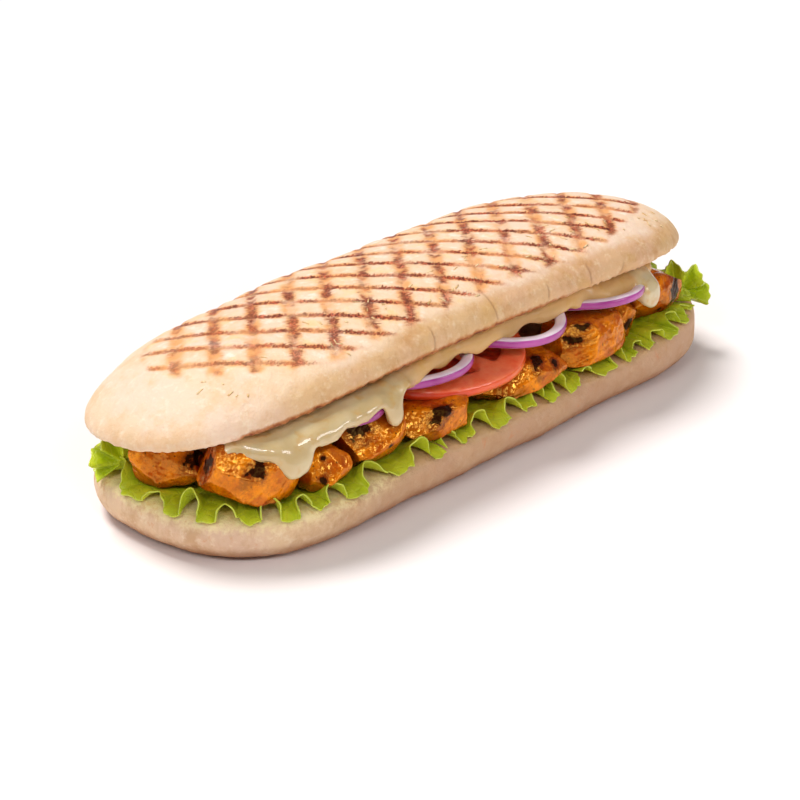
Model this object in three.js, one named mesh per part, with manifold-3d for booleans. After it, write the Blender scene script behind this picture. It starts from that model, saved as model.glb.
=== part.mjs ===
// A grilled turkey panini: a long pressed loaf cut open, with lettuce, glazed turkey pieces,
// tomato, red onion and melted cheese between its two halves.
// Millimetres, +Z up, X along the loaf, the open front side towards -Y, the base on Z = 0.
import * as THREE from 'three';
import Module from 'manifold-3d';

const wasm = await Module();
wasm.setup();

// ---------------------------------------------------------------- driving dimensions

// Both halves of the loaf share this way of stating an outline: straight sides, round ends.
const BOTTOM = { halfLength: 140, halfWidth: 52.6, endRound: 54.9, squareness: 2.36 };
const TOP = { halfLength: 141, halfWidth: 47.9, endRound: 73, squareness: 2.45 };

const BOTTOM_THICKNESS = 18;
const BOTTOM_END_RISE = 4.5; // the right end of the cut face is higher
const TOP_THICKNESS = 19.4;
const TOP_DOME_POWER = 2.15; // 2 is a round dome, more is pressed flatter

// How the top half sits on the filling.
const TOP_SEAT = {
  height: 47.5,
  shiftX: -2.8,
  shiftY: 3.4,
  frontLift: 0.138, // radians about X
  endLift: 0.007, // radians about Y
  turn: -0.018, // radians about Z
  droop: 8.4, // how far both ends hang
  droopLength: 140,
};

// The top half's front lip sags between the two ends.
const LIP = { sag: 2.1, middle: 20, halfLength: 75 };

const CONTACT_GAP = 0.35; // air left between pieces that touch

// Steps round a loaf outline: each quarter of the ends, and each straight side.
const END_STEPS = 8;
const SIDE_STEPS = 16;
const RING_STEPS = 4 * END_STEPS + 2 * SIDE_STEPS;

// Step 0 is the right tip, and the count runs along the back to the left tip at half way.
const STEP_LENGTH = 10.75; // mean length of a step on the bottom half's rim

// ---------------------------------------------------------------- small helpers

function smooth(from, to, value) {
  const t = Math.min(1, Math.max(0, (value - from) / (to - from)));
  return t * t * (3 - 2 * t);
}

function bell(value, centre, width) {
  return Math.exp(-(((value - centre) / width) ** 2));
}

function mix(a, b, t) {
  return a + (b - a) * t;
}

function seededRandom(seed) {
  let state = (seed * 2654435761) >>> 0;
  return () => {
    state = (Math.imul(state, 1664525) + 1013904223) >>> 0;
    return state / 4294967296;
  };
}

function unevenness(x, y, z, phase) {
  const longWave = 0.55 * Math.sin(x / 19 + phase);
  const shortWave = 0.35 * Math.sin(x / 8.3 + y / 11 + 2 * phase);
  const upWave = 0.25 * Math.sin(z / 4.5 + x / 13 + 3 * phase);
  return longWave + shortWave + upWave;
}

function geometryFrom(vertices, triangles) {
  const geometry = new THREE.BufferGeometry();
  const flat = vertices.flatMap((v) => [v.x, v.y, v.z]);
  geometry.setAttribute('position', new THREE.Float32BufferAttribute(flat, 3));
  geometry.setIndex(triangles.flat());
  geometry.computeVertexNormals();
  return geometry;
}

// ---------------------------------------------------------------- joining and cutting

function toSolid(geometry) {
  const mesh = new wasm.Mesh({
    numProp: 3,
    vertProperties: new Float32Array(geometry.attributes.position.array),
    triVerts: new Uint32Array(geometry.index.array),
  });
  return new wasm.Manifold(mesh);
}

function fromSolid(solid) {
  const mesh = solid.getMesh();
  const geometry = new THREE.BufferGeometry();
  geometry.setAttribute('position', new THREE.Float32BufferAttribute(mesh.vertProperties, 3));
  geometry.setIndex(Array.from(mesh.triVerts));
  geometry.computeVertexNormals();
  return geometry;
}

function grown(geometry, distance) {
  const bigger = geometry.clone();
  const position = bigger.attributes.position;
  const normal = bigger.attributes.normal;
  for (let i = 0; i < position.count; i += 1) {
    position.setXYZ(
      i,
      position.getX(i) + normal.getX(i) * distance,
      position.getY(i) + normal.getY(i) * distance,
      position.getZ(i) + normal.getZ(i) * distance,
    );
  }
  return bigger;
}

// The piece without what its neighbours take up, and without the scraps that come loose.
// The smaller growths reach into sharp folds, where the larger one crosses itself.
function trimmed(geometry, neighbours) {
  let solid = toSolid(geometry);
  for (const neighbour of neighbours) {
    for (const distance of [CONTACT_GAP, CONTACT_GAP / 3, CONTACT_GAP / 9]) {
      const taken = toSolid(grown(neighbour, distance));
      if (!solid.intersect(taken).isEmpty()) {
        solid = solid.subtract(taken);
      }
    }
  }
  const bodies = solid.decompose();
  bodies.sort((a, b) => b.volume() - a.volume());
  return fromSolid(bodies[0]);
}

// ---------------------------------------------------------------- loaf outline and lofts

// A point of a loaf's outline at a real-numbered step, moved inwards by the inset.
function loafPoint(loaf, step, inset) {
  const a = loaf.halfLength - inset;
  const b = loaf.halfWidth - inset;
  const cap = Math.min(a, loaf.endRound * (1 - inset / loaf.halfWidth));
  const straight = a - cap;
  const k = ((step % RING_STEPS) + RING_STEPS) % RING_STEPS;
  const backEnd = END_STEPS + SIDE_STEPS;
  const frontStart = backEnd + 2 * END_STEPS;
  const frontEnd = frontStart + SIDE_STEPS;
  if (k >= END_STEPS && k <= backEnd) {
    return { x: mix(straight, -straight, (k - END_STEPS) / SIDE_STEPS), y: b };
  }
  if (k >= frontStart && k <= frontEnd) {
    return { x: mix(-straight, straight, (k - frontStart) / SIDE_STEPS), y: -b };
  }
  let quarters = k / END_STEPS;
  if (k > backEnd) {
    quarters = (k - SIDE_STEPS) / END_STEPS;
  }
  if (k > frontEnd) {
    quarters = (k - 2 * SIDE_STEPS) / END_STEPS;
  }
  const c = Math.cos((quarters * Math.PI) / 2);
  const s = Math.sin((quarters * Math.PI) / 2);
  const bend = 2 / loaf.squareness;
  return {
    x: Math.sign(c) * (straight + cap * Math.abs(c) ** bend),
    y: Math.sign(s) * b * Math.abs(s) ** bend,
  };
}

// A closed solid through rings of equal count, closed across from front to back at both ends.
function loft(rings) {
  const count = rings[0].length;
  const vertices = rings.flat();
  const triangles = [];
  for (let level = 0; level + 1 < rings.length; level += 1) {
    for (let k = 0; k < count; k += 1) {
      const a = level * count + k;
      const b = level * count + ((k + 1) % count);
      triangles.push([a, b, b + count], [a, b + count, a + count]);
    }
  }
  const closeAcross = (level, facesUp) => {
    const base = level * count;
    for (let k = 0; k < count / 2; k += 1) {
      const corners = [k, k + 1, count - k - 1, (count - k) % count].map((i) => base + i);
      const quad = facesUp ? corners : corners.reverse();
      if (quad[0] !== quad[3]) triangles.push([quad[0], quad[2], quad[3]]);
      if (quad[1] !== quad[2]) triangles.push([quad[0], quad[1], quad[2]]);
    }
  };
  closeAcross(0, false);
  closeAcross(rings.length - 1, true);
  const sound = triangles.filter(([a, b, c]) => a !== b && b !== c && c !== a);
  return geometryFrom(vertices, sound);
}

// A sheet given by its middle surface becomes a closed thin solid.
function thicken(vertices, triangles, thicknessAt) {
  const middle = geometryFrom(vertices, triangles);
  const normal = middle.attributes.normal;
  const side = (sign) => vertices.map((v, i) => {
    const reach = (sign * thicknessAt(i)) / 2;
    const n = new THREE.Vector3().fromBufferAttribute(normal, i);
    return v.clone().addScaledVector(n, reach);
  });
  const count = vertices.length;
  const all = [...side(1), ...side(-1)];
  const faces = [...triangles];
  const edges = new Set();
  for (const [a, b, c] of triangles) {
    faces.push([a + count, c + count, b + count]);
    edges.add(`${a},${b}`).add(`${b},${c}`).add(`${c},${a}`);
  }
  for (const edge of edges) {
    const [a, b] = edge.split(',').map(Number);
    if (!edges.has(`${b},${a}`)) {
      faces.push([b, a, a + count], [b, a + count, b + count]);
    }
  }
  return geometryFrom(all, faces);
}

// ---------------------------------------------------------------- bread

function bottomFaceHeight(x) {
  return BOTTOM_THICKNESS + BOTTOM_END_RISE * smooth(50, 140, x);
}

function breadBottom() {
  const phase = 1.7;
  const ring = (inset, heightAt) => Array.from({ length: RING_STEPS }, (_, k) => {
    const rough = loafPoint(BOTTOM, k, inset);
    const z = heightAt(rough.x);
    const p = loafPoint(BOTTOM, k, inset - unevenness(rough.x, rough.y, z, phase));
    return new THREE.Vector3(p.x, p.y, z);
  });
  return loft([
    ring(12, () => 0),
    ring(5.5, () => 1.5),
    ring(1.8, () => 5.5),
    ring(0.4, () => 10),
    ring(0.8, (x) => bottomFaceHeight(x) - 3.5),
    ring(2.6, (x) => bottomFaceHeight(x) - 1.2),
    ring(5, (x) => bottomFaceHeight(x) - 0.4),
    ring(16, (x) => bottomFaceHeight(x)),
  ]);
}

// From the top half's own flat frame to its place on the filling.
function seatTop(x, y, z) {
  const seat = TOP_SEAT;
  const p = new THREE.Vector3(x, y, z - seat.droop * (x / seat.droopLength) ** 2);
  p.applyAxisAngle(new THREE.Vector3(1, 0, 0), -seat.frontLift);
  p.applyAxisAngle(new THREE.Vector3(0, 1, 0), -seat.endLift);
  p.applyAxisAngle(new THREE.Vector3(0, 0, 1), seat.turn);
  return p.add(new THREE.Vector3(seat.shiftX, seat.shiftY, seat.height));
}

function topDome(inset) {
  const across = Math.min(1, inset / TOP.halfWidth);
  return TOP_THICKNESS * (1 - (1 - across) ** TOP_DOME_POWER) ** (1 / TOP_DOME_POWER);
}

function lipSag(x, y) {
  const nearFront = smooth(0.5, 0.95, -y / TOP.halfWidth);
  return LIP.sag * nearFront * bell(x, LIP.middle, LIP.halfLength);
}

function breadTop() {
  const phase = 4.1;
  const ring = (inset, z, sagShare = 0) => Array.from({ length: RING_STEPS }, (_, k) => {
    const rough = loafPoint(TOP, k, inset);
    const reach = unevenness(rough.x, rough.y, z, phase) * smooth(-1, 3, z);
    const p = loafPoint(TOP, k, Math.min(inset - 0.8 * reach, TOP.halfWidth - 1));
    return seatTop(p.x, p.y, z + 0.4 * reach - sagShare * lipSag(rough.x, rough.y));
  });
  const domeInsets = [0.7, 3, 7.2, 14, 25, 46.5];
  return loft([
    ring(6, 0, 0.3),
    ring(1.4, 0, 1),
    ring(0.1, 1.3, 0.9),
    ...domeInsets.map((inset) => ring(inset, topDome(inset))),
  ]);
}

// Height of the top half's cut face over a place in the plan.
function ceiling(x, y) {
  const seat = TOP_SEAT;
  const along = x - seat.shiftX;
  const across = y - seat.shiftY;
  const droop = seat.droop * (along / seat.droopLength) ** 2;
  return seat.height - droop - across * Math.tan(seat.frontLift) + along * Math.tan(seat.endLift);
}

// ---------------------------------------------------------------- lettuce

const LEAF = {
  thickness: 0.9,
  liftOffBread: 0.9,
  innerInset: 40,
  flatInset: 13,
  waveInset: 4,
  edgeInset: 2.4,
  wave: 17, // mean distance between two crests
  waveHeight: 4.3,
  waveReach: 2.6,
  meanLift: 1.7,
  columnsPerStep: 3.7,
};

// Each leaf lies under a stretch of the rim, from one outline step to another.
const LEAVES = [
  ['lettuce_left', 28.2, 36.4],
  ['lettuce_front_left', 36.5, 44.3],
  ['lettuce_front_middle', 44.4, 51.9],
  ['lettuce_front_right', 52, 59.3],
  ['lettuce_right', 59.4, 68.6],
  ['lettuce_back_right', 68.7, 76.2],
  ['lettuce_back_middle', 76.3, 84.4],
  ['lettuce_back_left', 84.5, 92.1],
];

// The frill's phase runs on unevenly, so that no two folds are alike.
function frillPhase(step) {
  const length = step * STEP_LENGTH;
  const drift = 1.3 * Math.sin(length / 21) + 0.9 * Math.sin(length / 9.7 + 1);
  return (2 * Math.PI * length) / LEAF.wave + drift;
}

function frillSize(step) {
  return 0.85 + 0.3 * Math.sin(step * 1.9) + 0.15 * Math.sin(step * 4.3 + 2);
}

function leafPoint(step, inset, strength) {
  const phase = frillPhase(step);
  const size = frillSize(step) * strength;
  const wave = Math.sin(phase);
  const lift = wave > 0 ? wave : wave * strength * strength;
  const p = loafPoint(BOTTOM, step, inset + LEAF.waveReach * size * wave);
  const base = bottomFaceHeight(p.x) + LEAF.liftOffBread;
  return new THREE.Vector3(p.x, p.y, base + size * (LEAF.waveHeight * lift + LEAF.meanLift));
}

// Joins two rows of points that may differ in count, keeping the same turn all along.
function stitch(triangles, outer, inner) {
  let i = 0;
  let j = 0;
  while (i < outer.length - 1 || j < inner.length - 1) {
    const outerAhead = (i + 1) / (outer.length - 1);
    const innerAhead = (j + 1) / (inner.length - 1);
    if (outerAhead <= innerAhead) {
      triangles.push([outer[i], outer[i + 1], inner[j]]);
      i += 1;
    } else {
      triangles.push([outer[i], inner[j + 1], inner[j]]);
      j += 1;
    }
  }
}

function lettuceLeaf(from, to) {
  const columns = Math.round((to - from) * LEAF.columnsPerStep);
  const rows = [
    { inset: LEAF.edgeInset, strength: 1, columns },
    { inset: LEAF.waveInset, strength: 0.42, columns },
    { inset: LEAF.flatInset, strength: 0.06, columns: Math.round(columns / 2) },
    { inset: LEAF.innerInset, strength: 0, columns: Math.round(columns / 7) },
  ];
  const vertices = [];
  const triangles = [];
  const indexed = rows.map((row) => Array.from({ length: row.columns + 1 }, (_, i) => {
    vertices.push(leafPoint(mix(from, to, i / row.columns), row.inset, row.strength));
    return vertices.length - 1;
  }));
  for (let r = 0; r + 1 < indexed.length; r += 1) {
    stitch(triangles, indexed[r], indexed[r + 1]);
  }
  return thicken(vertices, triangles, () => LEAF.thickness);
}

// Ragged leaf tips that stand up at both ends of the loaf.
// They fan out in an upright plane, from one angle above the horizontal to another, in degrees.
const LEAF_TIPS = [
  { name: 'lettuce_tip_right', base: [124, -32, 22.8], reach: 12, from: -30, to: 125, seed: 3 },
  { name: 'lettuce_tip_left', base: [-131, 17, 24], reach: 11, from: 50, to: 215, seed: 8 },
];

const LEAF_TIP_TURN = -47; // degrees from the loaf's length to the plane of a tip

function lettuceTip({ base, reach, from, to, seed }) {
  const up = new THREE.Vector3(0, 0, 1);
  const turn = THREE.MathUtils.degToRad(LEAF_TIP_TURN);
  const across = new THREE.Vector3(1, 0, 0).applyAxisAngle(up, turn);
  const towards = new THREE.Vector3(across.y, -across.x, 0);
  const rowFractions = [0.12, 0.55, 1];
  const columns = 13;
  const vertices = [];
  const triangles = [];
  const indexed = rowFractions.map((fraction) => Array.from({ length: columns + 1 }, (_, i) => {
    const angle = THREE.MathUtils.degToRad(mix(from, to, i / columns));
    const ragged = 1 + 0.16 * Math.sin(7 * angle + seed) + 0.08 * Math.sin(13 * angle + 2 * seed);
    const radius = reach * fraction * mix(1, ragged, fraction);
    const curl = 2.2 * fraction * fraction * Math.sin(6 * angle + seed);
    const p = new THREE.Vector3(...base);
    p.addScaledVector(across, radius * Math.cos(angle));
    p.addScaledVector(towards, curl);
    p.z += radius * Math.sin(angle);
    vertices.push(p);
    return vertices.length - 1;
  }));
  for (let r = 0; r + 1 < indexed.length; r += 1) {
    stitch(triangles, indexed[r + 1], indexed[r]);
  }
  return thicken(vertices, triangles, () => LEAF.thickness);
}

// ---------------------------------------------------------------- turkey

// Diced pieces: centre, full size, turn about Z and roll about their long axis in degrees.
const TURKEY = [
  { name: 'turkey_1', centre: [-120.5, 0.5, 28.2], size: [28, 29, 16.4], turn: 20, roll: 0, seed: 11 },
  { name: 'turkey_2', centre: [-115, -29, 31.2], size: [35, 24, 21.4], turn: -44, roll: -6, seed: 5 },
  { name: 'turkey_3', centre: [-90.5, -36, 27.4], size: [18.5, 26, 15.5], turn: 10, roll: 3, seed: 7 },
  { name: 'turkey_4', centre: [-64.5, -34.6, 30.4], size: [30, 31, 21], turn: -12, roll: 2, seed: 2 },
  { name: 'turkey_5', centre: [-30.5, -37, 26.8], size: [37, 27, 14], turn: 3, roll: 0, seed: 9 },
  { name: 'turkey_6', centre: [14, -36.8, 26.8], size: [43, 27, 14], turn: -5, roll: 0, seed: 4 },
  { name: 'turkey_7', centre: [54.5, -34.6, 30], size: [35, 31, 20], turn: 3, roll: 0, seed: 12 },
  { name: 'turkey_8', centre: [80, -31, 28.2], size: [13.5, 24, 14], turn: -5, roll: 0, seed: 6 },
  { name: 'turkey_9', centre: [101, -31.5, 31.2], size: [30, 26, 18.4], turn: -18, roll: 0, seed: 3 },
  { name: 'turkey_10', centre: [113, 8, 30.8], size: [28, 32, 13.5], turn: -10, roll: 0, seed: 14 },
  { name: 'turkey_11', centre: [85, 30, 29], size: [29, 28, 13], turn: -6, roll: 0, seed: 16 },
  { name: 'turkey_12', centre: [51.5, 32, 27], size: [32, 29, 11.5], turn: 5, roll: -3, seed: 19 },
  { name: 'turkey_13', centre: [17, 32, 27], size: [32, 29, 11.5], turn: -7, roll: -3, seed: 21 },
  { name: 'turkey_14', centre: [-18, 32, 26.5], size: [33, 28, 11.5], turn: 6, roll: -3, seed: 23 },
  { name: 'turkey_15', centre: [-53.5, 32, 25.2], size: [32, 28, 9], turn: -4, roll: -5, seed: 25 },
  { name: 'turkey_16', centre: [-88, 30, 27.8], size: [31, 28, 14], turn: 9, roll: -2, seed: 27 },
];

// Cells along each edge of a piece: finer in the large pieces of the open front.
const FRONT_CELLS = 5;
const PLAIN_CELLS = 4;
const LARGE_PIECE = 20;

const DICE_SQUARENESS = 4.2; // 2 is an egg, more is boxier

// A unit cube's point moved onto a box with round edges.
function roundedBoxPoint(v) {
  const even = new THREE.Vector3(...v.toArray().map((n) => Math.sin((n * Math.PI) / 4)));
  const power = DICE_SQUARENESS;
  const sum = even.toArray().reduce((total, n) => total + Math.abs(n) ** power, 0);
  return even.divideScalar(sum ** (1 / power));
}

function turkeyPiece({ centre, size, turn, roll, seed }) {
  const random = seededRandom(seed);
  const anyWay = () => new THREE.Vector3(random() - 0.5, random() - 0.5, random() - 0.5).normalize();
  const lumps = Array.from({ length: 4 }, () => ({
    way: anyWay(),
    rate: mix(2, 4.5, random()),
    start: random() * 6,
  }));
  const cuts = Array.from({ length: 5 }, () => ({ way: anyWay(), depth: mix(0.86, 0.98, random()) }));
  const cells = centre[1] < 0 && size[0] > LARGE_PIECE ? FRONT_CELLS : PLAIN_CELLS;
  const cube = new THREE.BoxGeometry(2, 2, 2, cells, cells, cells);
  cube.deleteAttribute('normal');
  cube.deleteAttribute('uv');
  const { vertices, triangles } = welded(cube);
  const { degToRad } = THREE.MathUtils;
  const turned = new THREE.Euler(degToRad(roll), 0, degToRad(turn), 'ZYX');
  for (const v of vertices) {
    v.copy(roundedBoxPoint(v));
    const swell = lumps.map((lump) => Math.sin(lump.rate * v.dot(lump.way) + lump.start));
    v.multiplyScalar(1 + 0.035 * swell.reduce((sum, n) => sum + n));
    for (const cut of cuts) {
      const over = v.dot(cut.way) - cut.depth;
      if (over > 0) v.addScaledVector(cut.way, -over * 0.85);
    }
    v.multiply(new THREE.Vector3(...size).divideScalar(2));
    v.applyEuler(turned).add(new THREE.Vector3(...centre));
  }
  return geometryFrom(vertices, triangles);
}

// A box geometry whose corner copies are joined into one closed skin.
function welded(geometry) {
  const position = geometry.attributes.position;
  const known = new Map();
  const vertices = [];
  const skinIndex = Array.from({ length: position.count }, (_, i) => {
    const v = new THREE.Vector3().fromBufferAttribute(position, i);
    const key = v.toArray().map((n) => n.toFixed(3)).join();
    if (!known.has(key)) {
      known.set(key, vertices.length);
      vertices.push(v);
    }
    return known.get(key);
  });
  const corners = Array.from(geometry.index.array, (i) => skinIndex[i]);
  const triangles = [];
  for (let i = 0; i < corners.length; i += 3) {
    triangles.push(corners.slice(i, i + 3));
  }
  return { vertices, triangles };
}

// ---------------------------------------------------------------- tomato and onion

const TOMATO = { thickness: 6, rimRound: 1.8, segments: 25 };

const TOMATO_SLICES = [
  { name: 'tomato_1', centre: [-8, -10.5, 37.4], radius: 38.5, tip: 2, seed: 1 },
  { name: 'tomato_2', centre: [57, -6, 39.6], radius: 24, tip: -7.5, seed: 2 },
  { name: 'tomato_3', centre: [-52, 26, 33.6], radius: 20, tip: -8, seed: 3 },
];

// Tipped forwards or back about the loaf's length, then moved to its place.
function place(vertices, centre, tip) {
  const turned = new THREE.Euler(THREE.MathUtils.degToRad(tip), 0, 0);
  for (const v of vertices) {
    v.applyEuler(turned).add(new THREE.Vector3(...centre));
  }
}

function tomatoSlice({ centre, radius, tip, seed }) {
  const half = TOMATO.thickness / 2;
  const profile = [
    [radius - TOMATO.rimRound * 1.2, -half],
    [radius, -half + TOMATO.rimRound],
    [radius, half - TOMATO.rimRound],
    [radius - TOMATO.rimRound, half],
  ];
  const count = TOMATO.segments;
  const rings = profile.map(([reach, z]) => Array.from({ length: count }, (_, k) => {
    const angle = (2 * Math.PI * k) / count;
    const lobes = 1 + 0.012 * Math.sin(5 * angle + seed) + 0.012 * Math.sin(2 * angle + 2 * seed);
    return new THREE.Vector3(reach * lobes * Math.cos(angle), reach * lobes * Math.sin(angle), z);
  }));
  const slice = loft(rings);
  const vertices = rings.flat();
  place(vertices, centre, tip);
  const index = Array.from(slice.index.array);
  const triangles = [];
  for (let i = 0; i < index.length; i += 3) {
    triangles.push(index.slice(i, i + 3));
  }
  return geometryFrom(vertices, triangles);
}

const ONION = { height: 3.9, width: 4.8, stepAngle: 13 };

// Cut rings whose open ends lie under the bread: angles in degrees, 270 is straight to the front.
const ONION_ARCS = [
  { name: 'onion_1', centre: [-73, -30, 41.2], radius: 17.5, from: 215, to: 312, tip: 0 },
  { name: 'onion_2', centre: [-28, -24, 43], radius: 23, from: 192, to: 345, tip: 2 },
  { name: 'onion_3', centre: [21, -25.5, 43.4], radius: 25, from: 182, to: 362, tip: 1 },
  { name: 'onion_4', centre: [69, -25.5, 41.6], radius: 25, from: 184, to: 303, tip: 0 },
  { name: 'onion_5', centre: [36, 21.5, 37], radius: 25, from: 20, to: 160, tip: -6 },
];

function onionArc({ centre, radius, from, to, tip }) {
  const steps = Math.round((to - from) / ONION.stepAngle);
  const h = ONION.height / 2;
  const w = ONION.width;
  const section = [[-w, -h * 0.8], [0, -h], [0.7, 0], [0, h], [-w, h * 0.8]];
  const rings = Array.from({ length: steps + 1 }, (_, i) => {
    const angle = THREE.MathUtils.degToRad(mix(from, to, i / steps));
    const sway = 1 + 0.025 * Math.sin(3 * angle + radius);
    return section.map(([out, up]) => new THREE.Vector3(
      (radius * sway + out) * Math.cos(angle),
      (radius * sway + out) * Math.sin(angle),
      up + 0.5 * Math.sin(2 * angle + radius),
    ));
  });
  place(rings.flat(), centre, tip);
  const count = section.length;
  const triangles = [];
  for (let i = 0; i < steps; i += 1) {
    for (let k = 0; k < count; k += 1) {
      const a = i * count + k;
      const b = i * count + ((k + 1) % count);
      triangles.push([a, b + count, b], [a, a + count, b + count]);
    }
  }
  for (let k = 1; k + 1 < count; k += 1) {
    triangles.push([0, k, k + 1]);
    triangles.push([steps * count, steps * count + k + 1, steps * count + k]);
  }
  return geometryFrom(rings.flat(), triangles);
}

// ---------------------------------------------------------------- cheese

const CHEESE = {
  from: -124,
  to: 97,
  columnStep: 9,
  closestColumns: 2.2,
  thickness: 2.8,
  dripThickness: 4.2,
  frontInset: 6,
  leastReach: 3.4,
  leastDrop: 1.6,
  apronInset: 4.5, // how far inside the bottom half's rim the longest drips hang
};

// Runs of melted cheese at the front: where along the loaf, how wide, how far down they hang.
const FRONT_DRIPS = [
  { x: -119, width: 10, drop: 4.5 },
  { x: -106.5, width: 8, drop: 11 },
  { x: -94, width: 8, drop: 6 },
  { x: -62, width: 5.5, drop: 10 },
  { x: 87, width: 9.5, drop: 12.5 },
];

const BACK_DRIPS = [
  { x: -72, width: 9, drop: 6 },
  { x: -5, width: 12, drop: 7 },
  { x: 70, width: 8, drop: 5 },
];

// A drip's tip is blunter than a bell's.
function hang(drips, x, least) {
  const share = (drip) => Math.exp(-(Math.abs((x - drip.x) / drip.width) ** 3));
  return Math.max(least, ...drips.map((drip) => least + drip.drop * share(drip)));
}

// Half the width of a loaf's outline at a place along it.
function depthAt(loaf, x, inset) {
  const cap = loaf.endRound;
  const along = Math.max(0, Math.abs(x) - (loaf.halfLength - inset - cap)) / cap;
  const round = (1 - Math.min(0.999, along) ** loaf.squareness) ** (1 / loaf.squareness);
  return (loaf.halfWidth - inset) * round;
}

// The middle line of the cheese from the back edge, under the bread, to the front edge.
function cheeseProfile(x) {
  const depth = depthAt(TOP, x - TOP_SEAT.shiftX, CHEESE.frontInset);
  const roof = (y) => ceiling(x, y) - CONTACT_GAP - CHEESE.thickness / 2 - 0.5;
  const front = TOP_SEAT.shiftY - depth;
  const back = TOP_SEAT.shiftY + depth;
  const frontDrop = hang(FRONT_DRIPS, x, CHEESE.leastDrop);
  const lip = roof(front) - lipSag(x - TOP_SEAT.shiftX, -TOP.halfWidth);
  const backDrop = hang(BACK_DRIPS, x, CHEESE.leastDrop);
  const apron = depthAt(BOTTOM, x, CHEESE.apronInset) + front;
  const reach = mix(CHEESE.leastReach, apron, smooth(3, 10, frontDrop));
  const points = [
    [back + 2.6, roof(back) - 1 - backDrop],
    [back, roof(back) - 0.3],
  ];
  points.push([front, mix(roof(front), lip, 0.5)]);
  points.push([front - reach * 0.55, lip - 0.5 - frontDrop * 0.1]);
  points.push([front - reach * 0.9, lip - 1.2 - frontDrop * 0.4]);
  points.push([front - reach, lip - 1.8 - frontDrop * 0.75]);
  points.push([front - reach * 0.96, lip - 2.2 - frontDrop]);
  return points;
}

// Places along the loaf for the sheet's columns: evenly spaced, and closer across each front drip.
function cheeseColumns() {
  const places = [CHEESE.from, CHEESE.to];
  const addPlace = (x) => {
    if (places.every((other) => Math.abs(other - x) >= CHEESE.closestColumns)) places.push(x);
  };
  for (const { x, width } of FRONT_DRIPS) {
    [0, -0.6, 0.6, -1, 1, -1.5, 1.5].forEach((share) => addPlace(x + share * width));
  }
  const evenCount = Math.round((CHEESE.to - CHEESE.from) / CHEESE.columnStep);
  for (let i = 1; i < evenCount; i += 1) {
    addPlace(mix(CHEESE.from, CHEESE.to, i / evenCount));
  }
  return places.filter((x) => x >= CHEESE.from && x <= CHEESE.to).sort((a, b) => a - b);
}

function cheeseSheet() {
  const vertices = [];
  const triangles = [];
  const columns = cheeseColumns();
  const rowCount = cheeseProfile(0).length;
  for (const x of columns) {
    for (const [y, z] of cheeseProfile(x)) {
      vertices.push(new THREE.Vector3(x, y, z));
    }
  }
  for (let c = 0; c + 1 < columns.length; c += 1) {
    for (let r = 0; r + 1 < rowCount; r += 1) {
      const a = c * rowCount + r;
      triangles.push([a, a + 1, a + rowCount + 1], [a, a + rowCount + 1, a + rowCount]);
    }
  }
  const thicknessAt = (i) => {
    const row = i % rowCount;
    const x = vertices[i].x;
    const onDrip = smooth(2, 9, hang(FRONT_DRIPS, x, 0));
    const full = row > 2 ? mix(CHEESE.thickness, CHEESE.dripThickness, onDrip) : CHEESE.thickness;
    const atEdge = row === 0 || row === rowCount - 1;
    return atEdge ? full * 0.55 : full;
  };
  return thicken(vertices, triangles, thicknessAt);
}

// ---------------------------------------------------------------- the whole panini

function finish(color, roughness) {
  return new THREE.MeshStandardMaterial({ color, roughness, metalness: 0 });
}

const BREAD_LOOK = finish(0xeacb9a, 0.85);
const LETTUCE_LOOK = finish(0x8bb52f, 0.5);
const TURKEY_LOOK = finish(0xe0861a, 0.3);
const TOMATO_LOOK = finish(0xdc4a34, 0.3);
const ONION_LOOK = finish(0xb678b8, 0.35);
const CHEESE_LOOK = finish(0xeadfae, 0.35);

const pieces = new Map();
const looks = new Map();

function add(name, geometry, look) {
  pieces.set(name, geometry);
  looks.set(name, look);
}

function namesLike(stem) {
  return [...pieces.keys()].filter((name) => name.startsWith(stem));
}

function all(stem) {
  return namesLike(stem).map((name) => pieces.get(name));
}

add('bread_bottom', breadBottom(), BREAD_LOOK);
add('bread_top', breadTop(), BREAD_LOOK);
for (const [name, from, to] of LEAVES) {
  add(name, lettuceLeaf(from, to), LETTUCE_LOOK);
}
for (const tip of LEAF_TIPS) {
  add(tip.name, trimmed(lettuceTip(tip), [...all('bread'), ...all('lettuce')]), LETTUCE_LOOK);
}
for (const slice of TOMATO_SLICES) {
  add(slice.name, trimmed(tomatoSlice(slice), all('tomato')), TOMATO_LOOK);
}
for (const arc of ONION_ARCS) {
  add(arc.name, trimmed(onionArc(arc), [...all('tomato'), ...all('onion')]), ONION_LOOK);
}
for (const piece of TURKEY) {
  const firmer = [...all('lettuce'), ...all('tomato'), ...all('onion'), ...all('turkey')];
  add(piece.name, trimmed(turkeyPiece(piece), firmer), TURKEY_LOOK);
}
add('cheese', trimmed(cheeseSheet(), all('')), CHEESE_LOOK);

// The group stands centred over its origin.
const group = new THREE.Group();
for (const [name, geometry] of pieces) {
  const mesh = new THREE.Mesh(geometry, looks.get(name));
  mesh.name = name;
  group.add(mesh);
}
const extent = new THREE.Box3().setFromObject(group);
const middle = extent.getCenter(new THREE.Vector3());
group.position.set(-middle.x, -middle.y, -extent.min.z);
group.updateMatrixWorld(true);

export default group;
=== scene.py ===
import itertools
import math

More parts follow.
